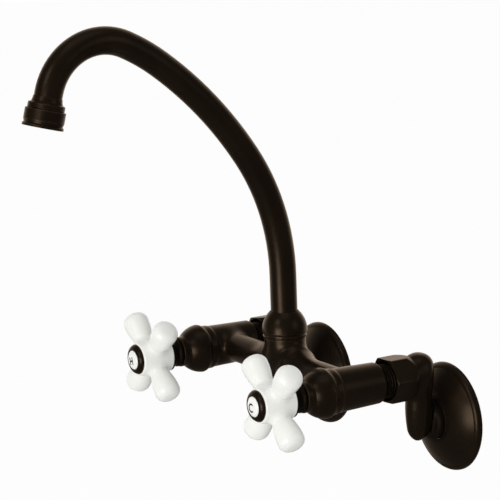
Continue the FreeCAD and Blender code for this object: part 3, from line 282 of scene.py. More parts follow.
def profile(corners, rounding=0.25):
    """Half section of a turned piece, anticlockwise, as rows of point, normal and wear.

    A corner is (radius, station) in millimetres, or (radius, station, rounding) with its own rounding, or
    (radius, station, arc, bulge) where an arc of that radius leads to it."""
    points = []
    for i, corner in enumerate(corners):
        here = Vector(corner[:2])
        if len(corner) == 4:
            curve = arc(Vector(corners[i - 1][:2]), here, corner[2], corner[3])
            points += [(p, 0) for p in curve[:-1]]
        points.append((here, corner[2] if len(corner) == 3 else rounding))
    rows = []
    for i, (here, radius) in enumerate(points):
        before, after = points[i - 1][0], points[(i + 1) % len(points)][0]
        first, last = (here - before).normalized(), (after - here).normalized()
        if here.x < 1e-6:
            flat = last if before.x < 1e-6 else first
            rows.append((here * MM, Vector((0, -math.copysign(1, flat.x))), 0))
            continue
        turn = math.atan2(first.x * last.y - first.y * last.x, first.dot(last))
        normal = Vector((first.y, -first.x))
        if abs(turn) < SMOOTH_TURN or radius == 0:
            rows.append((here * MM, Vector((first.y + last.y, -first.x - last.x)).normalized(), 0))
            continue
        slope = math.tan(abs(turn) / 2)
        room = (here - before).length, (after - here).length
        cut = min(radius * slope, 0.45 * room[0], 0.45 * room[1])
        radius = math.copysign(cut / slope, turn)
        centre = here - first * cut - normal * radius
        if room[0] > 2 * cut + WEAR_BAND:
            rows.append(((here - first * (cut + WEAR_BAND)) * MM, normal, 0))
        for k in range(EDGE_STEPS + 1):
            out = normal @ Matrix.Rotation(-turn * k / EDGE_STEPS, 2)
            rows.append(((centre + out * radius) * MM, out, 1 if turn > 0 else 0))
        if room[1] > 2 * cut + WEAR_BAND:
            rows.append(((here + last * (cut + WEAR_BAND)) * MM, Vector((last.y, -last.x)), 0))
    return rows


def turned(name, rows, place, segments=128):
    """Mesh of a turned piece: its half section goes round the Z axis of its place."""
    verts, normals, wear, rings, faces = [], [], [], [], []
    for point, normal, worn in rows:
        count = 1 if point.x < 1e-9 else segments
        rings.append((len(verts), count))
        for k in range(count):
            c, s = math.cos(2 * math.pi * k / segments), math.sin(2 * math.pi * k / segments)
            verts.append(place @ Vector((point.x * c, point.x * s, point.y)))
            normals.append(place.to_3x3() @ Vector((normal.x * c, normal.x * s, normal.y)))
            wear.append(worn)
    for i, (low, low_count) in enumerate(rings):
        high, high_count = rings[(i + 1) % len(rings)]
        for k in range(segments):
            n = (k + 1) % segments
            if low_count > 1 and high_count > 1:
                faces.append((low + k, low + n, high + n, high + k))
            elif low_count > 1:
                faces.append((low + k, low + n, high))
            elif high_count > 1:
                faces.append((low, high + n, high + k))
    mesh = bpy.data.meshes.new(name)
    mesh.from_pydata(verts, [], faces)
    mesh.attributes.new("wear", "FLOAT", "POINT").data.foreach_set("value", wear)
    mesh.shade_smooth()
    mesh.normals_split_custom_set_from_vertices(normals)
    return mesh


def fit(node, mesh, finish):
    """Put a finished mesh in the scene in its node's place, on the node's body."""
    piece = bpy.data.objects.new(mesh.name + "_piece", mesh)
    scene.collection.objects.link(piece)
    mesh.materials.clear()
    mesh.materials.append(finish)
    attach(piece, nodes[node]["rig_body"])
    return piece


def outside(points, solids, fillet):
    """Distance of points from turned solids run together with a fillet; it is negative inside them."""
    total = None
    for place, rows in solids:
        local = (points - np.array(place.translation)) @ np.array(place.to_3x3())
        radius, station = np.hypot(local[:, 0], local[:, 1]), local[:, 2]
        corners = [row[0] for row in rows]
        nearest = np.full(len(points), 1.0)
        within = np.zeros(len(points), bool)
        for a, b in zip(corners, corners[1:] + corners[:1]):
            ex, ey = b.x - a.x, b.y - a.y
            if max(a.x, b.x) > 1e-9:
                t = np.clip(((radius - a.x) * ex + (station - a.y) * ey) / (ex * ex + ey * ey), 0, 1)
                nearest = np.minimum(nearest, np.hypot(radius - a.x - t * ex, station - a.y - t * ey))
            if ey:
                within ^= ((a.y > station) != (b.y > station)) & (radius < ex * (station - a.y) / ey + a.x)
        distance = np.where(within, -nearest, nearest)
        if total is None:
            total = distance
        else:
            near = np.clip(fillet - np.abs(total - distance), 0, None) / fillet
            total = np.minimum(total, distance) - near * near * fillet / 4
    return total


def slope(points, solids, fillet):
    """Direction in which the distance grows, for each point."""
    step = 0.03 * MM
    sides = [
        outside(points + d, solids, fillet) - outside(points - d, solids, fillet) for d in np.eye(3) * step
    ]
    return np.stack(sides, axis=1) / (2 * step)


def cast(name, solids, fillet, voxel, bores):
    """A casting of turned solids run together, then bored with turned cutters."""
    joined = bmesh.new()
    for place, rows in solids:
        part = turned("part", rows, place, 96)
        joined.from_mesh(part)
        bpy.data.meshes.remove(part)
    mesh = bpy.data.meshes.new(name)
    joined.to_mesh(mesh)
    joined.free()
    mesh.attributes.remove(mesh.attributes["wear"])
    lump = bpy.data.objects.new(name, mesh)
    scene.collection.objects.link(lump)
    remesh = lump.modifiers.new("remesh", "REMESH")
    remesh.mode = "VOXEL"
    remesh.voxel_size = voxel
    mesh = baked(lump, name)
    points = np.empty(len(mesh.vertices) * 3)
    mesh.vertices.foreach_get("co", points)
    points = points.reshape(-1, 3)
    for _ in range(3):
        way = slope(points, solids, fillet)
        steep = np.clip((way ** 2).sum(1), 0.1, None)
        move = np.clip(outside(points, solids, fillet) / steep, -voxel, voxel)
        points -= move[:, None] * way
    mesh.vertices.foreach_set("co", points.ravel())

    lump = bpy.data.objects.new(name, mesh)
    scene.collection.objects.link(lump)
    cutters = []
    for place, corners in bores:
        cutter = bpy.data.objects.new("cutter", turned("cutter", profile(corners, 0), place, 96))
        scene.collection.objects.link(cutter)
        cut = lump.modifiers.new("bore", "BOOLEAN")
        cut.solver = "MANIFOLD"
        cut.object = cutter
        cutters.append(cutter)
    mesh = baked(lump, name)
    for cutter in cutters:
        bpy.data.objects.remove(cutter)

    points = np.empty(len(mesh.vertices) * 3)
    mesh.vertices.foreach_get("co", points)
    points = points.reshape(-1, 3)
    on_skin = np.abs(outside(points, solids, fillet)) < SKIN
    way = slope(points, solids, fillet)
    way /= np.clip(np.linalg.norm(way, axis=1), 1e-6, None)[:, None]
    corner = np.empty(len(mesh.loops), int)
    mesh.loops.foreach_get("vertex_index", corner)
    sizes = [len(face.vertices) for face in mesh.polygons]
    flat = np.repeat(np.array([face.normal[:] for face in mesh.polygons]), sizes, axis=0)
    smooth = on_skin[corner] & ((flat * way[corner]).sum(1) > 0.75)
    mesh.shade_smooth()
    mesh.normals_split_custom_set(np.where(smooth[:, None], way[corner], flat).tolist())
    return mesh


def paint_shade(mesh, place, low, high, fade, widest):
    """Paint shade: mark, between two stations (mm) and out to a radius, where the patina is made near black
    for the shade there.
    """
    shade_marks = mesh.attributes.new("painted_shade", "FLOAT", "POINT")
    back = place.inverted()
    for vertex, mark in zip(mesh.vertices, shade_marks.data):
        at = back @ vertex.co
        if at.z > low * MM and math.hypot(at.x, at.y) < widest * MM:
            mark.value = min(max((high - at.z / MM) / fade, 0), 1)


def baked(thing, name):
    """The mesh that an object's modifiers make; the object itself goes."""
    bpy.context.view_layer.update()
    mesh = bpy.data.meshes.new_from_object(thing.evaluated_get(bpy.context.evaluated_depsgraph_get()))
    mesh.name = name
    old = thing.data
    bpy.data.objects.remove(thing)
    bpy.data.meshes.remove(old)
    return mesh


def outwards(x, z=0.0, lean=0.0):
    """Place on the wall whose Z axis points straight out of it, turned by a lean about that axis."""
    turn = Matrix.Rotation(lean, 4, "Y") @ Matrix.Rotation(math.pi / 2, 4, "X")
    return Matrix.Translation((x, 0, z)) @ turn


barrel = profile([
    (0, NECK_END), (NECK_ROOT, NECK_END), (NECK_ROOT, BARREL_BACK), (13.2, BARREL_BACK, 1.4),
    (14.05, BARREL_FRONT), (14.1, BARREL_FRONT + 3), (0, BARREL_FRONT + 3),
])
bridge = profile([
    (0, -HALF_SPREAD), (9.5, -HALF_SPREAD), (9.5, -34, 20), (14.3, -15, 40, -1), (14.3, 15, 8),
    (9.5, 34, 40, -1), (9.5, HALF_SPREAD), (0, HALF_SPREAD),
])
hub = profile([(0, -16), (13.6, -16, 6), (13.6, HUB_NECK_TOP + 3), (0, HUB_NECK_TOP + 3)])
hub_place = Matrix.Translation((0, -BRIDGE_LINE * MM, 0))
bridge_place = Matrix.Translation((0, -BRIDGE_LINE * MM, 0)) @ Matrix.Rotation(math.pi / 2, 4, "Y")
valve_places = [outwards(HALF_SPREAD * MM * way) for _, way in SIDES]
valve_bore = [
    (0, NECK_END - 1), (6, NECK_END - 1), (6, SEAT), (9.7, SEAT), (9.7, THREAD_END), (10.45, THREAD_END),
    (10.45, BARREL_FRONT), (20, BARREL_FRONT), (20, BARREL_FRONT + 5), (0, BARREL_FRONT + 5),
]
socket = [
    (0, 3.5), (SOCKET, 3.5), (SOCKET, HUB_NECK_TOP), (HUB_NECK, HUB_NECK_TOP), (HUB_NECK, HUB_TOP),
    (20, HUB_TOP), (20, HUB_NECK_TOP + 5), (0, HUB_NECK_TOP + 5),
]
waterway = [(0, -66), (5.5, -66), (5.5, 66), (0, 66)]
body_mesh = cast(
    "faucet_body",
    [(valve_places[0], barrel), (valve_places[1], barrel), (bridge_place, bridge), (hub_place, hub)],
    BODY_FILLET, BODY_VOXEL,
    [
        (valve_places[0], valve_bore), (valve_places[1], valve_bore), (hub_place, socket),
        (bridge_place, waterway),
    ],
)
# Painted shade: the threaded necks, between the barrels and the nuts, are made near black for the shade
# there.
for place in valve_places:
    paint_shade(body_mesh, place, NECK_END - 1, BARREL_BACK - 0.1, 0.5, NECK_CREST)
bronze = bronze_finish("oil_rubbed_bronze")
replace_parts(fit("faucet_body", body_mesh, bronze), "faucet_body")


def thread(name, root, crest, start, end, pitch, place):
    """Outside screw thread as one closed ridge that runs out at both ends."""
    turns = (end - start) / pitch - 1
    steps = int(THREAD_STEPS * turns)
    verts, faces = [], []
    for i in range(steps + 1):
        angle = 2 * math.pi * turns * i / steps
        fade = min(1, i / THREAD_RUN_OUT, (steps - i) / THREAD_RUN_OUT)
        foot = root - THREAD_ROOTED
        top = foot + (crest - root + THREAD_ROOTED) * fade
        for radius, shift in ((foot, -0.46), (top, -0.1), (top, 0.1), (foot, 0.46)):
            level = start + pitch * (0.5 + turns * i / steps + shift)
            verts.append(place @ (Vector((radius * math.cos(angle), radius * math.sin(angle), level)) * MM))
        if i:
            a, b = 4 * i - 4, 4 * i
            faces += [(a + k, b + k, b + (k + 1) % 4, a + (k + 1) % 4) for k in range(4)]
    faces += [(0, 1, 2, 3), (4 * steps + 3, 4 * steps + 2, 4 * steps + 1, 4 * steps)]
    mesh = bpy.data.meshes.new(name)
    mesh.from_pydata(verts, [], faces)
    return mesh


# Painted shade: a near-black copy of the bronze, for the neck threads and the handle cores, which sit in
# shade.
painted_shade_bronze = bronze_finish("painted_shade_bronze", PAINTED_SHADE_BLACK, (0.004, 0.003, 0.002), 0.5, 0)
for (side, _), place in zip(SIDES, valve_places):
    ridge = thread(side + "_neck_thread", NECK_ROOT, NECK_CREST, NECK_END, BARREL_BACK, THREAD_PITCH, place)
    fit("faucet_body", ridge, painted_shade_bronze)

# ------------------------------------------------------------------ bonnets
# Turned brass covers over the valves.  Each has a sharp rim, a domed front and a short neck for the handle,
# and closes on a stepped ring that is pressed on the barrel's end.  Both are finished like the body.
RING_FRONT = 96.2
BONNET_BACK = 96.25
BONNET_FRONT = 115.45

for (side, _), place in zip(SIDES, valve_places):
    ring = turned(side + "_bonnet_ring", profile([
        (10.7, BARREL_FRONT), (14.05, BARREL_FRONT, 0.1), (14.6, BARREL_FRONT + 1.8), (14.6, RING_FRONT, 0.5),
        (10.7, RING_FRONT),
    ]), place)
    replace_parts(fit(side + "_bonnet_ring", ring, bronze), side + "_bonnet_ring")
    bonnet = turned(side + "_bonnet", profile([
        (13.6, BONNET_BACK), (14.8, BONNET_BACK, 0.3), (16.15, BONNET_BACK + 3, 6, 1),
        (11, BONNET_BACK + 13.75, 17, 1), (10, BONNET_FRONT - 3.4, 3, -1), (10, BONNET_FRONT, 0.5),
        (7.35, BONNET_FRONT), (7.35, BONNET_BACK + 11.55), (8.8, BONNET_BACK + 11.55),
        (13.95, BONNET_BACK + 3, 14.8, -1),
    ], 0.22), place)
    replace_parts(fit(side + "_bonnet", bonnet, bronze), side + "_bonnet")

# ------------------------------------------------------------------ handles
# White glazed porcelain crosses with four swelling lobes, run together in the mould.  A bronze skirt and
# core carry each one, and a bronze bezel with a domed white button closes its front.
GLAZE_WHITE = (0.90, 0.905, 0.865)
GLAZE_WARM = (0.875, 0.875, 0.825)
SKIRT_BACK = 116.25
PORCELAIN_BACK = 124.45
PORCELAIN_FRONT = 146.95
PORCELAIN_FILLET = 4 * MM
PORCELAIN_VOXEL = 0.55 * MM
INDEX_BACK = 147.0
BUTTON_SEAT = 149.2
CORE_FLOOR = 139.43              # the screw's head rests on it
CORE_SPLINE_END = 136.93

porcelain = bpy.data.materials.new("white_porcelain")
porcelain.use_nodes = True
tree = porcelain.node_tree
glaze = tree.nodes["Principled BSDF"]
glaze.inputs["IOR"].default_value = 1.5
glaze.inputs["Subsurface Weight"].default_value = 0.12
glaze.inputs["Subsurface Radius"].default_value = (1.0, 0.9, 0.8)
glaze.inputs["Subsurface Scale"].default_value = 0.0012
place = wire(tree, "ShaderNodeTexCoord").outputs["Object"]
pool = wire(tree, "ShaderNodeTexNoise", Vector=place, Scale=55.0, Detail=3.0).outputs["Fac"]
speck = wire(tree, "ShaderNodeTexNoise", Vector=place, Scale=900.0, Detail=2.0).outputs["Fac"]
specks = wire(tree, "ShaderNodeMapRange", Value=speck, From_Min=0.70, From_Max=0.80, To_Min=1.0, To_Max=0.90)
tint = wire(tree, "ShaderNodeMix", {"data_type": "RGBA"}, n0=pool, n6=(*GLAZE_WHITE, 1), n7=(*GLAZE_WARM, 1))
body_tint = wire(tree, "ShaderNodeMix", {"data_type": "RGBA", "blend_type": "MULTIPLY"}, n0=1.0,
                 n6=tint.outputs[2], n7=specks.outputs[0])
gloss = wire(tree, "ShaderNodeMapRange", Value=pool, From_Min=0.3, From_Max=0.7, To_Min=0.16, To_Max=0.24)
ripple = wire(tree, "ShaderNodeTexNoise", Vector=place, Scale=140.0, Detail=2.0).outputs["Fac"]
bump = wire(tree, "ShaderNodeBump", Strength=0.12, Distance=0.0004, Height=ripple)
tree.links.new(body_tint.outputs[2], glaze.inputs["Base Color"])
tree.links.new(gloss.outputs[0], glaze.inputs["Roughness"])
tree.links.new(bump.outputs[0], glaze.inputs["Normal"])

cross_hub = profile([
    (0, PORCELAIN_BACK + 0.05), (10.6, PORCELAIN_BACK + 0.05), (11.8, PORCELAIN_BACK + 1.2, 1.26, 1),
    (12.6, PORCELAIN_BACK + 11.3, 60, 1), (11.2, PORCELAIN_FRONT - 1.2, 60, 1), (10, PORCELAIN_FRONT, 1.2, 1),
    (0, PORCELAIN_FRONT),
])
lobe = profile([
    (0, 0), (5.9, 0), (5.9, 13, 0), (8.59, 27.91, 45, 1), (4.12, 33.31, 5.5, 1), (0, 33.7, 22, 1),
], 0)
cross_bore = [
    (0, PORCELAIN_BACK - 1), (5.9, PORCELAIN_BACK - 1), (5.9, PORCELAIN_FRONT - 6),
    (7.4, PORCELAIN_FRONT - 6), (7.4, PORCELAIN_FRONT + 1), (0, PORCELAIN_FRONT + 1),
]
LETTER_RADIUS = 2.45
LETTER_BEND = [math.radians(45 + 270 * i / 24) for i in range(25)]
LETTER_STROKES = {
    "hot": [[(-1.5, -2.6), (-1.5, 2.6)], [(1.5, -2.6), (1.5, 2.6)], [(-1.5, 0), (1.5, 0)]],
    "cold": [[(LETTER_RADIUS * math.cos(at), LETTER_RADIUS * math.sin(at)) for at in LETTER_BEND]],
}
LETTER_TURNS = {"hot": 14.0, "cold": 2.0}
LETTER_PLACE = Matrix.Translation((-0.4 * MM, -0.7 * MM, 0))
LETTER_STROKE = 0.52
LETTER_RISE = 0.12


def drawn(name, strokes, radius, roundness, place):
    """Mesh of round strokes of a radius through their points, all in millimetres at the place."""
    line = bpy.data.curves.new(name, "CURVE")
    line.dimensions = "3D"
    line.bevel_depth = radius * MM
    line.bevel_resolution = roundness
    line.use_fill_caps = True
    for stroke in strokes:
        spline = line.splines.new("POLY")
        spline.points.add(len(stroke) - 1)
        for point, (x, y, z) in zip(spline.points, stroke):
            point.co = (x * MM, y * MM, z * MM, 1)
    thing = bpy.data.objects.new(name, line)
    scene.collection.objects.link(thing)
    bpy.context.view_layer.update()
    mesh = bpy.data.meshes.new_from_object(thing.evaluated_get(bpy.context.evaluated_depsgraph_get()))
    mesh.name = name
    bpy.data.objects.remove(thing)
    bpy.data.curves.remove(line)
    mesh.transform(place)
    mesh.shade_smooth()
    return mesh


def letter(name, strokes, level, place):
    """A plain letter of strokes with round ends, standing just proud of the button."""
    flatten = Matrix.Diagonal((1, 1, LETTER_RISE / LETTER_STROKE, 1))
    lines = [[(x, y, 0) for x, y in stroke] for stroke in strokes]
    return drawn(name, lines, LETTER_STROKE, 4, place @ Matrix.Translation((0, 0, level * MM)) @ flatten)


button_white = porcelain.copy()
button_white.name = "button_enamel"
letter_ink = bronze_finish("letter_enamel", (0.010, 0.009, 0.008), (0.018, 0.016, 0.014), 0.4, 0)

for (side, _), place in zip(SIDES, valve_places):
    solids = [(place, cross_hub)]
    for quarter in range(4):
        turn = Matrix.Rotation(math.radians(45 + 90 * quarter), 4, "Z")
        reach = Matrix.Translation((0, 0, (PORCELAIN_BACK + 11.3) * MM))
        solids.append((place @ turn @ reach @ Matrix.Rotation(math.pi / 2, 4, "Y"), lobe))
    cross = cast(side + "_handle", solids, PORCELAIN_FILLET, PORCELAIN_VOXEL, [(place, cross_bore)])
    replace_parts(fit(side + "_handle", cross, porcelain), side + "_handle")

    core = turned(side + "_handle_core", profile([
        (4.05, SKIRT_BACK), (9.5, SKIRT_BACK, 0.6), (9.5, SKIRT_BACK + 1.7, 0.35),
        (8.6, SKIRT_BACK + 2.5, 0.3), (8.6, SKIRT_BACK + 3), (11.2, PORCELAIN_BACK - 1.2, 8, -1),
        (11.2, PORCELAIN_BACK), (5.6, PORCELAIN_BACK), (5.6, PORCELAIN_FRONT - 0.8),
        (4.2, PORCELAIN_FRONT - 0.8), (4.2, CORE_FLOOR), (2.05, CORE_FLOOR), (2.05, CORE_SPLINE_END),
        (4.05, CORE_SPLINE_END),
    ]), place)
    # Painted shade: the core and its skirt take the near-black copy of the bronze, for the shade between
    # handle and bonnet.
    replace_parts(fit(side + "_handle_core", core, painted_shade_bronze), side + "_handle_core")

    bezel = turned(side + "_index_ring", profile([
        (5.65, 141.45), (7.1, 141.45), (7.1, INDEX_BACK), (10, INDEX_BACK, 0.15), (10, INDEX_BACK + 0.5, 0.2),
        (6.9, INDEX_BACK + 3.3, 4.2, 1), (6.4, INDEX_BACK + 3, 0.1), (6.4, BUTTON_SEAT), (5.65, BUTTON_SEAT),
    ]), place)
    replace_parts(fit(side + "_index_ring", bezel, bronze), side + "_index_ring")

    button = turned(side + "_index_button", profile([
        (0, BUTTON_SEAT), (6.35, BUTTON_SEAT), (6.35, BUTTON_SEAT + 0.9), (3.9, BUTTON_SEAT + 2, 4.5, 1),
        (0, BUTTON_SEAT + 2),
    ]), place)
    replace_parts(fit(side + "_index_button", button, button_white), side + "_index_button")

    pressed = place @ LETTER_PLACE @ Matrix.Rotation(math.radians(LETTER_TURNS[side]), 4, "Z")
    mark = letter(side + "_index_mark", LETTER_STROKES[side], BUTTON_SEAT + 2, pressed)
    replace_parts(fit(side + "_index_mark", mark, letter_ink), side + "_index_mark")

# ------------------------------------------------------------------ union nuts
# Hexagonal brass nuts that pull the supply arms up to the barrels' threaded necks.  They are forged, faced on
# a lathe so that their corners are rounded off at both ends, and finished like the body.
NUT_LOW = 34.2
NUT_HIGH = 52.0
NUT_ACROSS = 27.9
NUT_CORNER = NUT_ACROSS / math.sqrt(3)
NUT_REAR_CONE = 13.6             # radius at which the cone on its end towards the wall starts
NUT_REAR_TAPER = 6.0
NUT_FRONT_CONE = 14.3
NUT_STEPS = 240
NUT_TURNS = {"hot": -10.0, "cold": -2.0}


def softer(a, b, room):
    """The smaller of two sizes, rounded off where they are nearly equal."""
    near = max(room - abs(a - b), 0) / room
    return min(a, b) - near * near * room / 4


def union_nut(name, place):
    """A hexagon bar cut back by a cone at each end, with a stepped bore."""
    rows = [(11.05, NUT_LOW + 3.2), (9.7, NUT_LOW + 3.2), (9.7, NUT_LOW + 0.2), (9.9, NUT_LOW)]
    rows += [(None, NUT_LOW, 13.35), (None, NUT_LOW + 0.08, 13.55), (None, NUT_LOW + 0.3, 13.72)]
    for i in range(1, 13):
        cone = NUT_REAR_CONE + (NUT_CORNER - NUT_REAR_CONE) * i / 12
        rows.append((None, NUT_LOW + NUT_REAR_TAPER * i / 12, cone))
    for i in range(1, 6):
        level = NUT_LOW + NUT_REAR_TAPER + (NUT_HIGH - 1.4 - NUT_LOW - NUT_REAR_TAPER) * i / 6
        rows.append((None, level, NUT_CORNER + 1))
    for i in range(9):
        cone = NUT_FRONT_CONE + (NUT_CORNER - NUT_FRONT_CONE) * (10 - i) / 5
        rows.append((None, NUT_HIGH - 1.5 + 0.15 * i, cone))
    rows += [(None, NUT_HIGH - 0.08, 14.42), (None, NUT_HIGH, 14.2)]
    rows += [(13.4, NUT_HIGH), (13.2, NUT_HIGH - 0.2), (13.2, NUT_HIGH - 4.6), (11.05, NUT_HIGH - 4.6)]
    verts, faces = [], []
    for row in rows:
        for k in range(NUT_STEPS):
            angle = 2 * math.pi * (k + 0.5) / NUT_STEPS
            radius = row[0]
            if radius is None:
                off = (angle + math.pi / 6) % (math.pi / 3) - math.pi / 6
                flat = NUT_ACROSS / 2 / math.cos(math.pi / 6 - abs(off))
                radius = softer(softer(flat, NUT_CORNER - 0.35, 0.5), row[2], 0.35)
            verts.append(place @ (Vector((radius * math.cos(angle), radius * math.sin(angle), row[1])) * MM))
    for i in range(len(rows)):
        low, high = i * NUT_STEPS, (i + 1) % len(rows) * NUT_STEPS
        for k in range(NUT_STEPS):
            n = (k + 1) % NUT_STEPS
            faces.append((low + k, low + n, high + n, high + k))
    mesh = bpy.data.meshes.new(name)
    mesh.from_pydata(verts, [], faces)
    mesh.shade_smooth()
    mesh.set_sharp_from_angle(angle=math.radians(35))
    return mesh


for (side, _), place in zip(SIDES, valve_places):
    stopped = place @ Matrix.Rotation(math.radians(-NUT_TURNS[side]), 4, "Z")
    nut = union_nut(side + "_coupling_nut", stopped)
    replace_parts(fit(side + "_coupling_nut", nut, bronze), side + "_coupling_nut")

# ------------------------------------------------------------------ offset arms
# Cast brass arms that carry the water from the wall up to the unions and let the spread be set.  Boss, leg
# and shank are one smooth casting.  The shank takes the pipe in the wall and the union nut holds the tail.
ARM_OFFSET = 32.5
ARM_LEAN = math.radians(4.6)
ARM_BACK = 21.0
ARM_FRONT = 33.6
LEG_DISTANCE = 25.0
ARM_FILLET = 6 * MM
ARM_VOXEL = 0.7 * MM
SHANK_PAINTED_SHADE = 21.5              # painted shade: the patina is made black between here and the wall, round the shank, for the shade there
SHANK_PAINTED_SHADE_RADIUS = 16.0
PAINTED_SHADE_FADE = 4.0

arm_boss = profile([(0, ARM_BACK), (12.5, ARM_BACK, 6), (11, 42), (0, 42)])
arm_leg = profile([
    (0, -44.4), (2, -44.4, 0), (7, -37, 10.8, 1), (8.6, -22, 100, 1), (8.6, 6.2, 0), (1.6, 13.2, 7, 1),
    (0, 13.2),
])
arm_shank = profile([(0, 1.5), (13, 1.5), (13, 17.5, 3), (0, 17.5)])
tail = [
    (0, LEG_DISTANCE), (6, LEG_DISTANCE), (6, 39), (10.8, 39), (10.8, 37.7), (9.4, 37.7), (9.4, ARM_FRONT),
    (14, ARM_FRONT), (14, 45), (0, 45),
]
inlet = [(0, 0.5), (9.3, 0.5), (9.3, 14), (6, 14), (6, LEG_DISTANCE), (0, LEG_DISTANCE)]
leg_bore = [(0, -ARM_OFFSET), (5, -ARM_OFFSET), (5, 0), (0, 0)]

for side, way in SIDES:
    place = outwards(HALF_SPREAD * MM * way, lean=ARM_LEAN * way)
    leg_place = place @ Matrix.Translation((0, 0, LEG_DISTANCE * MM)) @ Matrix.Rotation(-math.pi / 2, 4, "X")
    shank_place = place @ Matrix.Translation((0, -ARM_OFFSET * MM, 0))
    arm = cast(
        side + "_offset_arm",
        [(place, arm_boss), (leg_place, arm_leg), (shank_place, arm_shank)],
        ARM_FILLET, ARM_VOXEL, [(place, tail), (shank_place, inlet), (leg_place, leg_bore)],
    )
    # Painted shade: the shank is made near black, for the shade between the leg and the flange.
    paint_shade(arm, shank_place, -1, SHANK_PAINTED_SHADE, PAINTED_SHADE_FADE, SHANK_PAINTED_SHADE_RADIUS)
    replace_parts(fit(side + "_offset_arm", arm, bronze), side + "_offset_arm")

# ------------------------------------------------------------------ wall flanges
# Spun brass cups that slide over the arms' shanks to the wall and hide the holes in it.  Each is domed to a
# crease near its rim, and its rim and edge are worn a little warmer than the rest.
# Painted shade round each flange's neck: from the low station, fading out at the high one, out to the radius.
NECK_PAINTED_SHADE_LOW = 11.5
NECK_PAINTED_SHADE_HIGH = 18.0
NECK_PAINTED_SHADE_RADIUS = 15.0

flange_rows = profile([
    (34.2, 0), (35.6, 0, 0.1), (35.6, 0.8), (32.3, 4.4, 4.2, 1), (14.4, 12.4, 40, 1), (13.6, 13.2, 0.8, 1),
    (13.08, 13.2), (13.08, 11), (14.4, 11), (30.9, 3, 38.6, -1),
], 0.35)
for side, way in SIDES:
    x = HALF_SPREAD - ARM_OFFSET * math.sin(ARM_LEAN)
    place = outwards(x * MM * way, -ARM_OFFSET * math.cos(ARM_LEAN) * MM)
    flange = turned(side + "_flange", flange_rows, place, 192)
    # Painted shade: the flange's neck round the shank is made near black, for the shade the leg casts there.
    paint_shade(flange, place, NECK_PAINTED_SHADE_LOW, NECK_PAINTED_SHADE_HIGH, PAINTED_SHADE_FADE, NECK_PAINTED_SHADE_RADIUS)
    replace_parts(fit(side + "_flange", flange, bronze), side + "_flange")

# ------------------------------------------------------------------ spout
# Drawn brass tube bent to a gooseneck, held on the hub by a domed slip nut over a thin beaded ring, so that
# it swivels.  The tube keeps its own solid, in the same oil-rubbed finish; the ring is worn a little lighter.
TRIM_BORE = 12.65
TRIM_TOP = 21.9
NUT_TOP = 36.5


def finish_node(node, finish):
    """Give a node's own solid its finish."""
    for place in nodes[node].material_slots:
        place.material = finish


finish_node("spout_tube", bronze)
trim = turned("spout_trim_ring", profile([
    (TRIM_BORE, HUB_TOP), (13.8, HUB_TOP, 0.1), (13.8, 19.35, 0.1), (14.4, 19.65, 0.2), (14.4, 20.45, 0.2),
    (13.8, 20.75, 0.1), (13.8, TRIM_TOP, 0.1), (TRIM_BORE, TRIM_TOP),
]), hub_place)
worn_bronze = bronze_finish("worn_bronze", (0.014, 0.009, 0.006), (0.026, 0.017, 0.011), 0.30, 0)
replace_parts(fit("spout_trim_ring", trim, worn_bronze), "spout_trim_ring")
slip_nut = turned("spout_nut", profile([
    (TRIM_BORE, TRIM_TOP), (14.4, TRIM_TOP, 0.2), (14.9, TRIM_TOP + 1.3, 0.5), (9.7, NUT_TOP - 0.5, 18.4, 1),
    (9.2, NUT_TOP, 0.15), (9.05, NUT_TOP, 0.05), (9.05, 29.55), (12.3, 29.55), (12.3, HUB_NECK_TOP),
    (TRIM_BORE, HUB_NECK_TOP),
]), hub_place)
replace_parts(fit("spout_nut", slip_nut, bronze), "spout_nut")

# ------------------------------------------------------------------ spout tip
# A turned collar soldered on the tube's end, and the aerator housing screwed on it: a plain ring with a thin
# flared lip.  A woven screen of fine steel wire closes the outlet, under a nylon insert.
BEND_END = (-239.9226, 195.5132)  # out from the wall and up, where the tube's last bend ends
TIP_HEADING = math.radians(165.0)
COLLAR_LOW = 6.6
COLLAR_END = 10.15
HOUSING_LOW = 10.25
LIP = 19.9
SCREEN_LEVEL = 19.65             # middle of the weave
WIRE_RADIUS = 0.11
WIRE_PITCH = 0.7
SCREEN_RADIUS = 9.7

tip_place = Matrix.Translation((0, BEND_END[0] * MM, BEND_END[1] * MM)) @ Matrix.Rotation(TIP_HEADING, 4, "X")
collar = turned("tip_collar", profile([
    (8.8, 2.6), (9.1, 2.6, 0.1), (9.9, 6.2, 9, -1), (11.1, COLLAR_LOW, 0.1), (11.5, 7, 0.2),
    (11.5, COLLAR_END - 0.4, 0.2), (11.3, COLLAR_END, 0.1), (10.6, COLLAR_END), (10.6, 14.5), (7.5, 14.5),
    (7.5, 8.2), (8.8, 8.2),
]), tip_place)
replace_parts(fit("tip_collar", collar, bronze), "tip_collar")
housing = turned("aerator_housing", profile([
    (10.65, HOUSING_LOW), (12.25, HOUSING_LOW, 0.1), (12.65, 10.65, 0.25), (12.65, 17.1, 0.3),
    (12, 19.1, 0.3), (12.85, LIP, 0.3), (12.85, 21.4, 0.3), (9, 21.4, 0.4), (9, LIP), (9.9, LIP),
    (9.9, 15.45), (10.65, 15.45),
]), tip_place)
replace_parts(fit("aerator_housing", housing, bronze), "aerator_housing")


def woven_screen(name, place):
    """Plain weave of fine wire in a round, each wire over and under the next."""
    wires = []
    count = int(SCREEN_RADIUS / WIRE_PITCH)
    for crossways in (False, True):
        for number in range(-count, count + 1):
            across = number * WIRE_PITCH
            half = math.sqrt(SCREEN_RADIUS ** 2 - across ** 2)
            steps = max(4, int(2 * half / WIRE_PITCH * 4))
            path = []
            for i in range(steps + 1):
                along = -half + 2 * half * i / steps
                phase = math.pi * (along / WIRE_PITCH + number) + (math.pi if crossways else 0)
                rise = SCREEN_LEVEL + WIRE_RADIUS * math.cos(phase)
                path.append((across, along, rise) if crossways else (along, across, rise))
            wires.append(path)
    return drawn(name, wires, WIRE_RADIUS, 1, place)


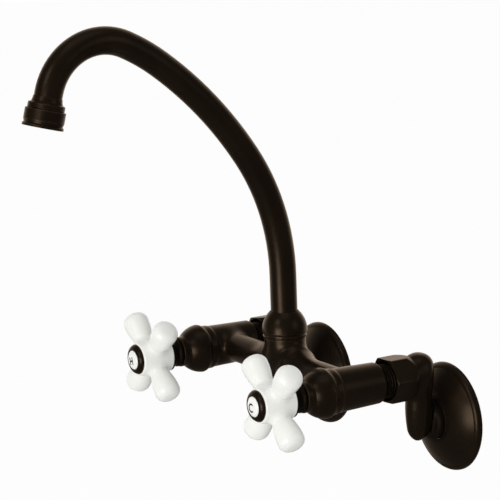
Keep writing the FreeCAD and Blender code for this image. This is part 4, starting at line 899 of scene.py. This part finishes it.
def mottled_finish(name, light, dark, metallic, rough, spread, grain, depth):
    """A plain material of two near tones with its own grain: spread and grain are noise scales per metre."""
    finish = bpy.data.materials.new(name)
    finish.use_nodes = True
    tree = finish.node_tree
    shader = tree.nodes["Principled BSDF"]
    shader.inputs["Metallic"].default_value = metallic
    place = wire(tree, "ShaderNodeTexCoord").outputs["Object"]
    cloud = wire(tree, "ShaderNodeTexNoise", Vector=place, Scale=spread, Detail=5.0).outputs["Fac"]
    tone = wire(tree, "ShaderNodeMix", {"data_type": "RGBA"}, n0=cloud, n6=(*light, 1), n7=(*dark, 1))
    gloss = wire(tree, "ShaderNodeMapRange", Value=cloud, From_Min=0.3, From_Max=0.7, To_Min=rough - 0.05,
                 To_Max=rough + 0.05)
    fine = wire(tree, "ShaderNodeTexNoise", Vector=place, Scale=grain, Detail=3.0).outputs["Fac"]
    bump = wire(tree, "ShaderNodeBump", Strength=0.3, Distance=depth * MM, Height=fine)
    tree.links.new(tone.outputs[2], shader.inputs["Base Color"])
    tree.links.new(gloss.outputs[0], shader.inputs["Roughness"])
    tree.links.new(bump.outputs[0], shader.inputs["Normal"])
    return finish


stainless = mottled_finish("stainless_wire", (0.60, 0.60, 0.59), (0.48, 0.48, 0.48), 1.0, 0.28, 300, 4000,
                           0.02)
screen = woven_screen("aerator_screen", tip_place)
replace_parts(fit("aerator_screen", screen, stainless), "aerator_screen")

# ------------------------------------------------------------------ inner works
# What the covers hide: brass valve bodies, spindles and bush, ground ceramic discs, rubber seals, nylon slip
# ring and aerator insert, fibre union washers and steel screws and clips.  All keep their own solids.
brass = mottled_finish("machined_brass", (0.76, 0.58, 0.28), (0.62, 0.45, 0.20), 1.0, 0.26, 200, 2500, 0.03)
rubber = mottled_finish("seal_rubber", (0.022, 0.022, 0.022), (0.035, 0.034, 0.033), 0.0, 0.68, 150, 3000,
                        0.05)
nylon = mottled_finish("white_nylon", (0.80, 0.80, 0.76), (0.72, 0.71, 0.66), 0.0, 0.45, 120, 2000, 0.03)
ceramic = mottled_finish("ground_ceramic", (0.80, 0.78, 0.72), (0.70, 0.67, 0.60), 0.0, 0.22, 180, 5000, 0.01)
fibre = mottled_finish("fibre_washer", (0.20, 0.075, 0.045), (0.12, 0.045, 0.03), 0.0, 0.75, 260, 1800, 0.08)

finish_node("spout_bush", brass)
finish_node("spout_seals", rubber)
finish_node("spout_slip_ring", nylon)
finish_node("aerator_washer", rubber)
finish_node("aerator_insert", nylon)
for side, _ in SIDES:
    for part, finish in (
        ("cartridge", brass), ("stem", brass), ("cartridge_gasket", rubber), ("stem_seals", rubber),
        ("seat_seal", rubber), ("fixed_disc", ceramic), ("turning_disc", ceramic), ("stem_clip", stainless),
        ("handle_screw", stainless), ("union_washer", fibre),
    ):
        finish_node(side + "_" + part, finish)
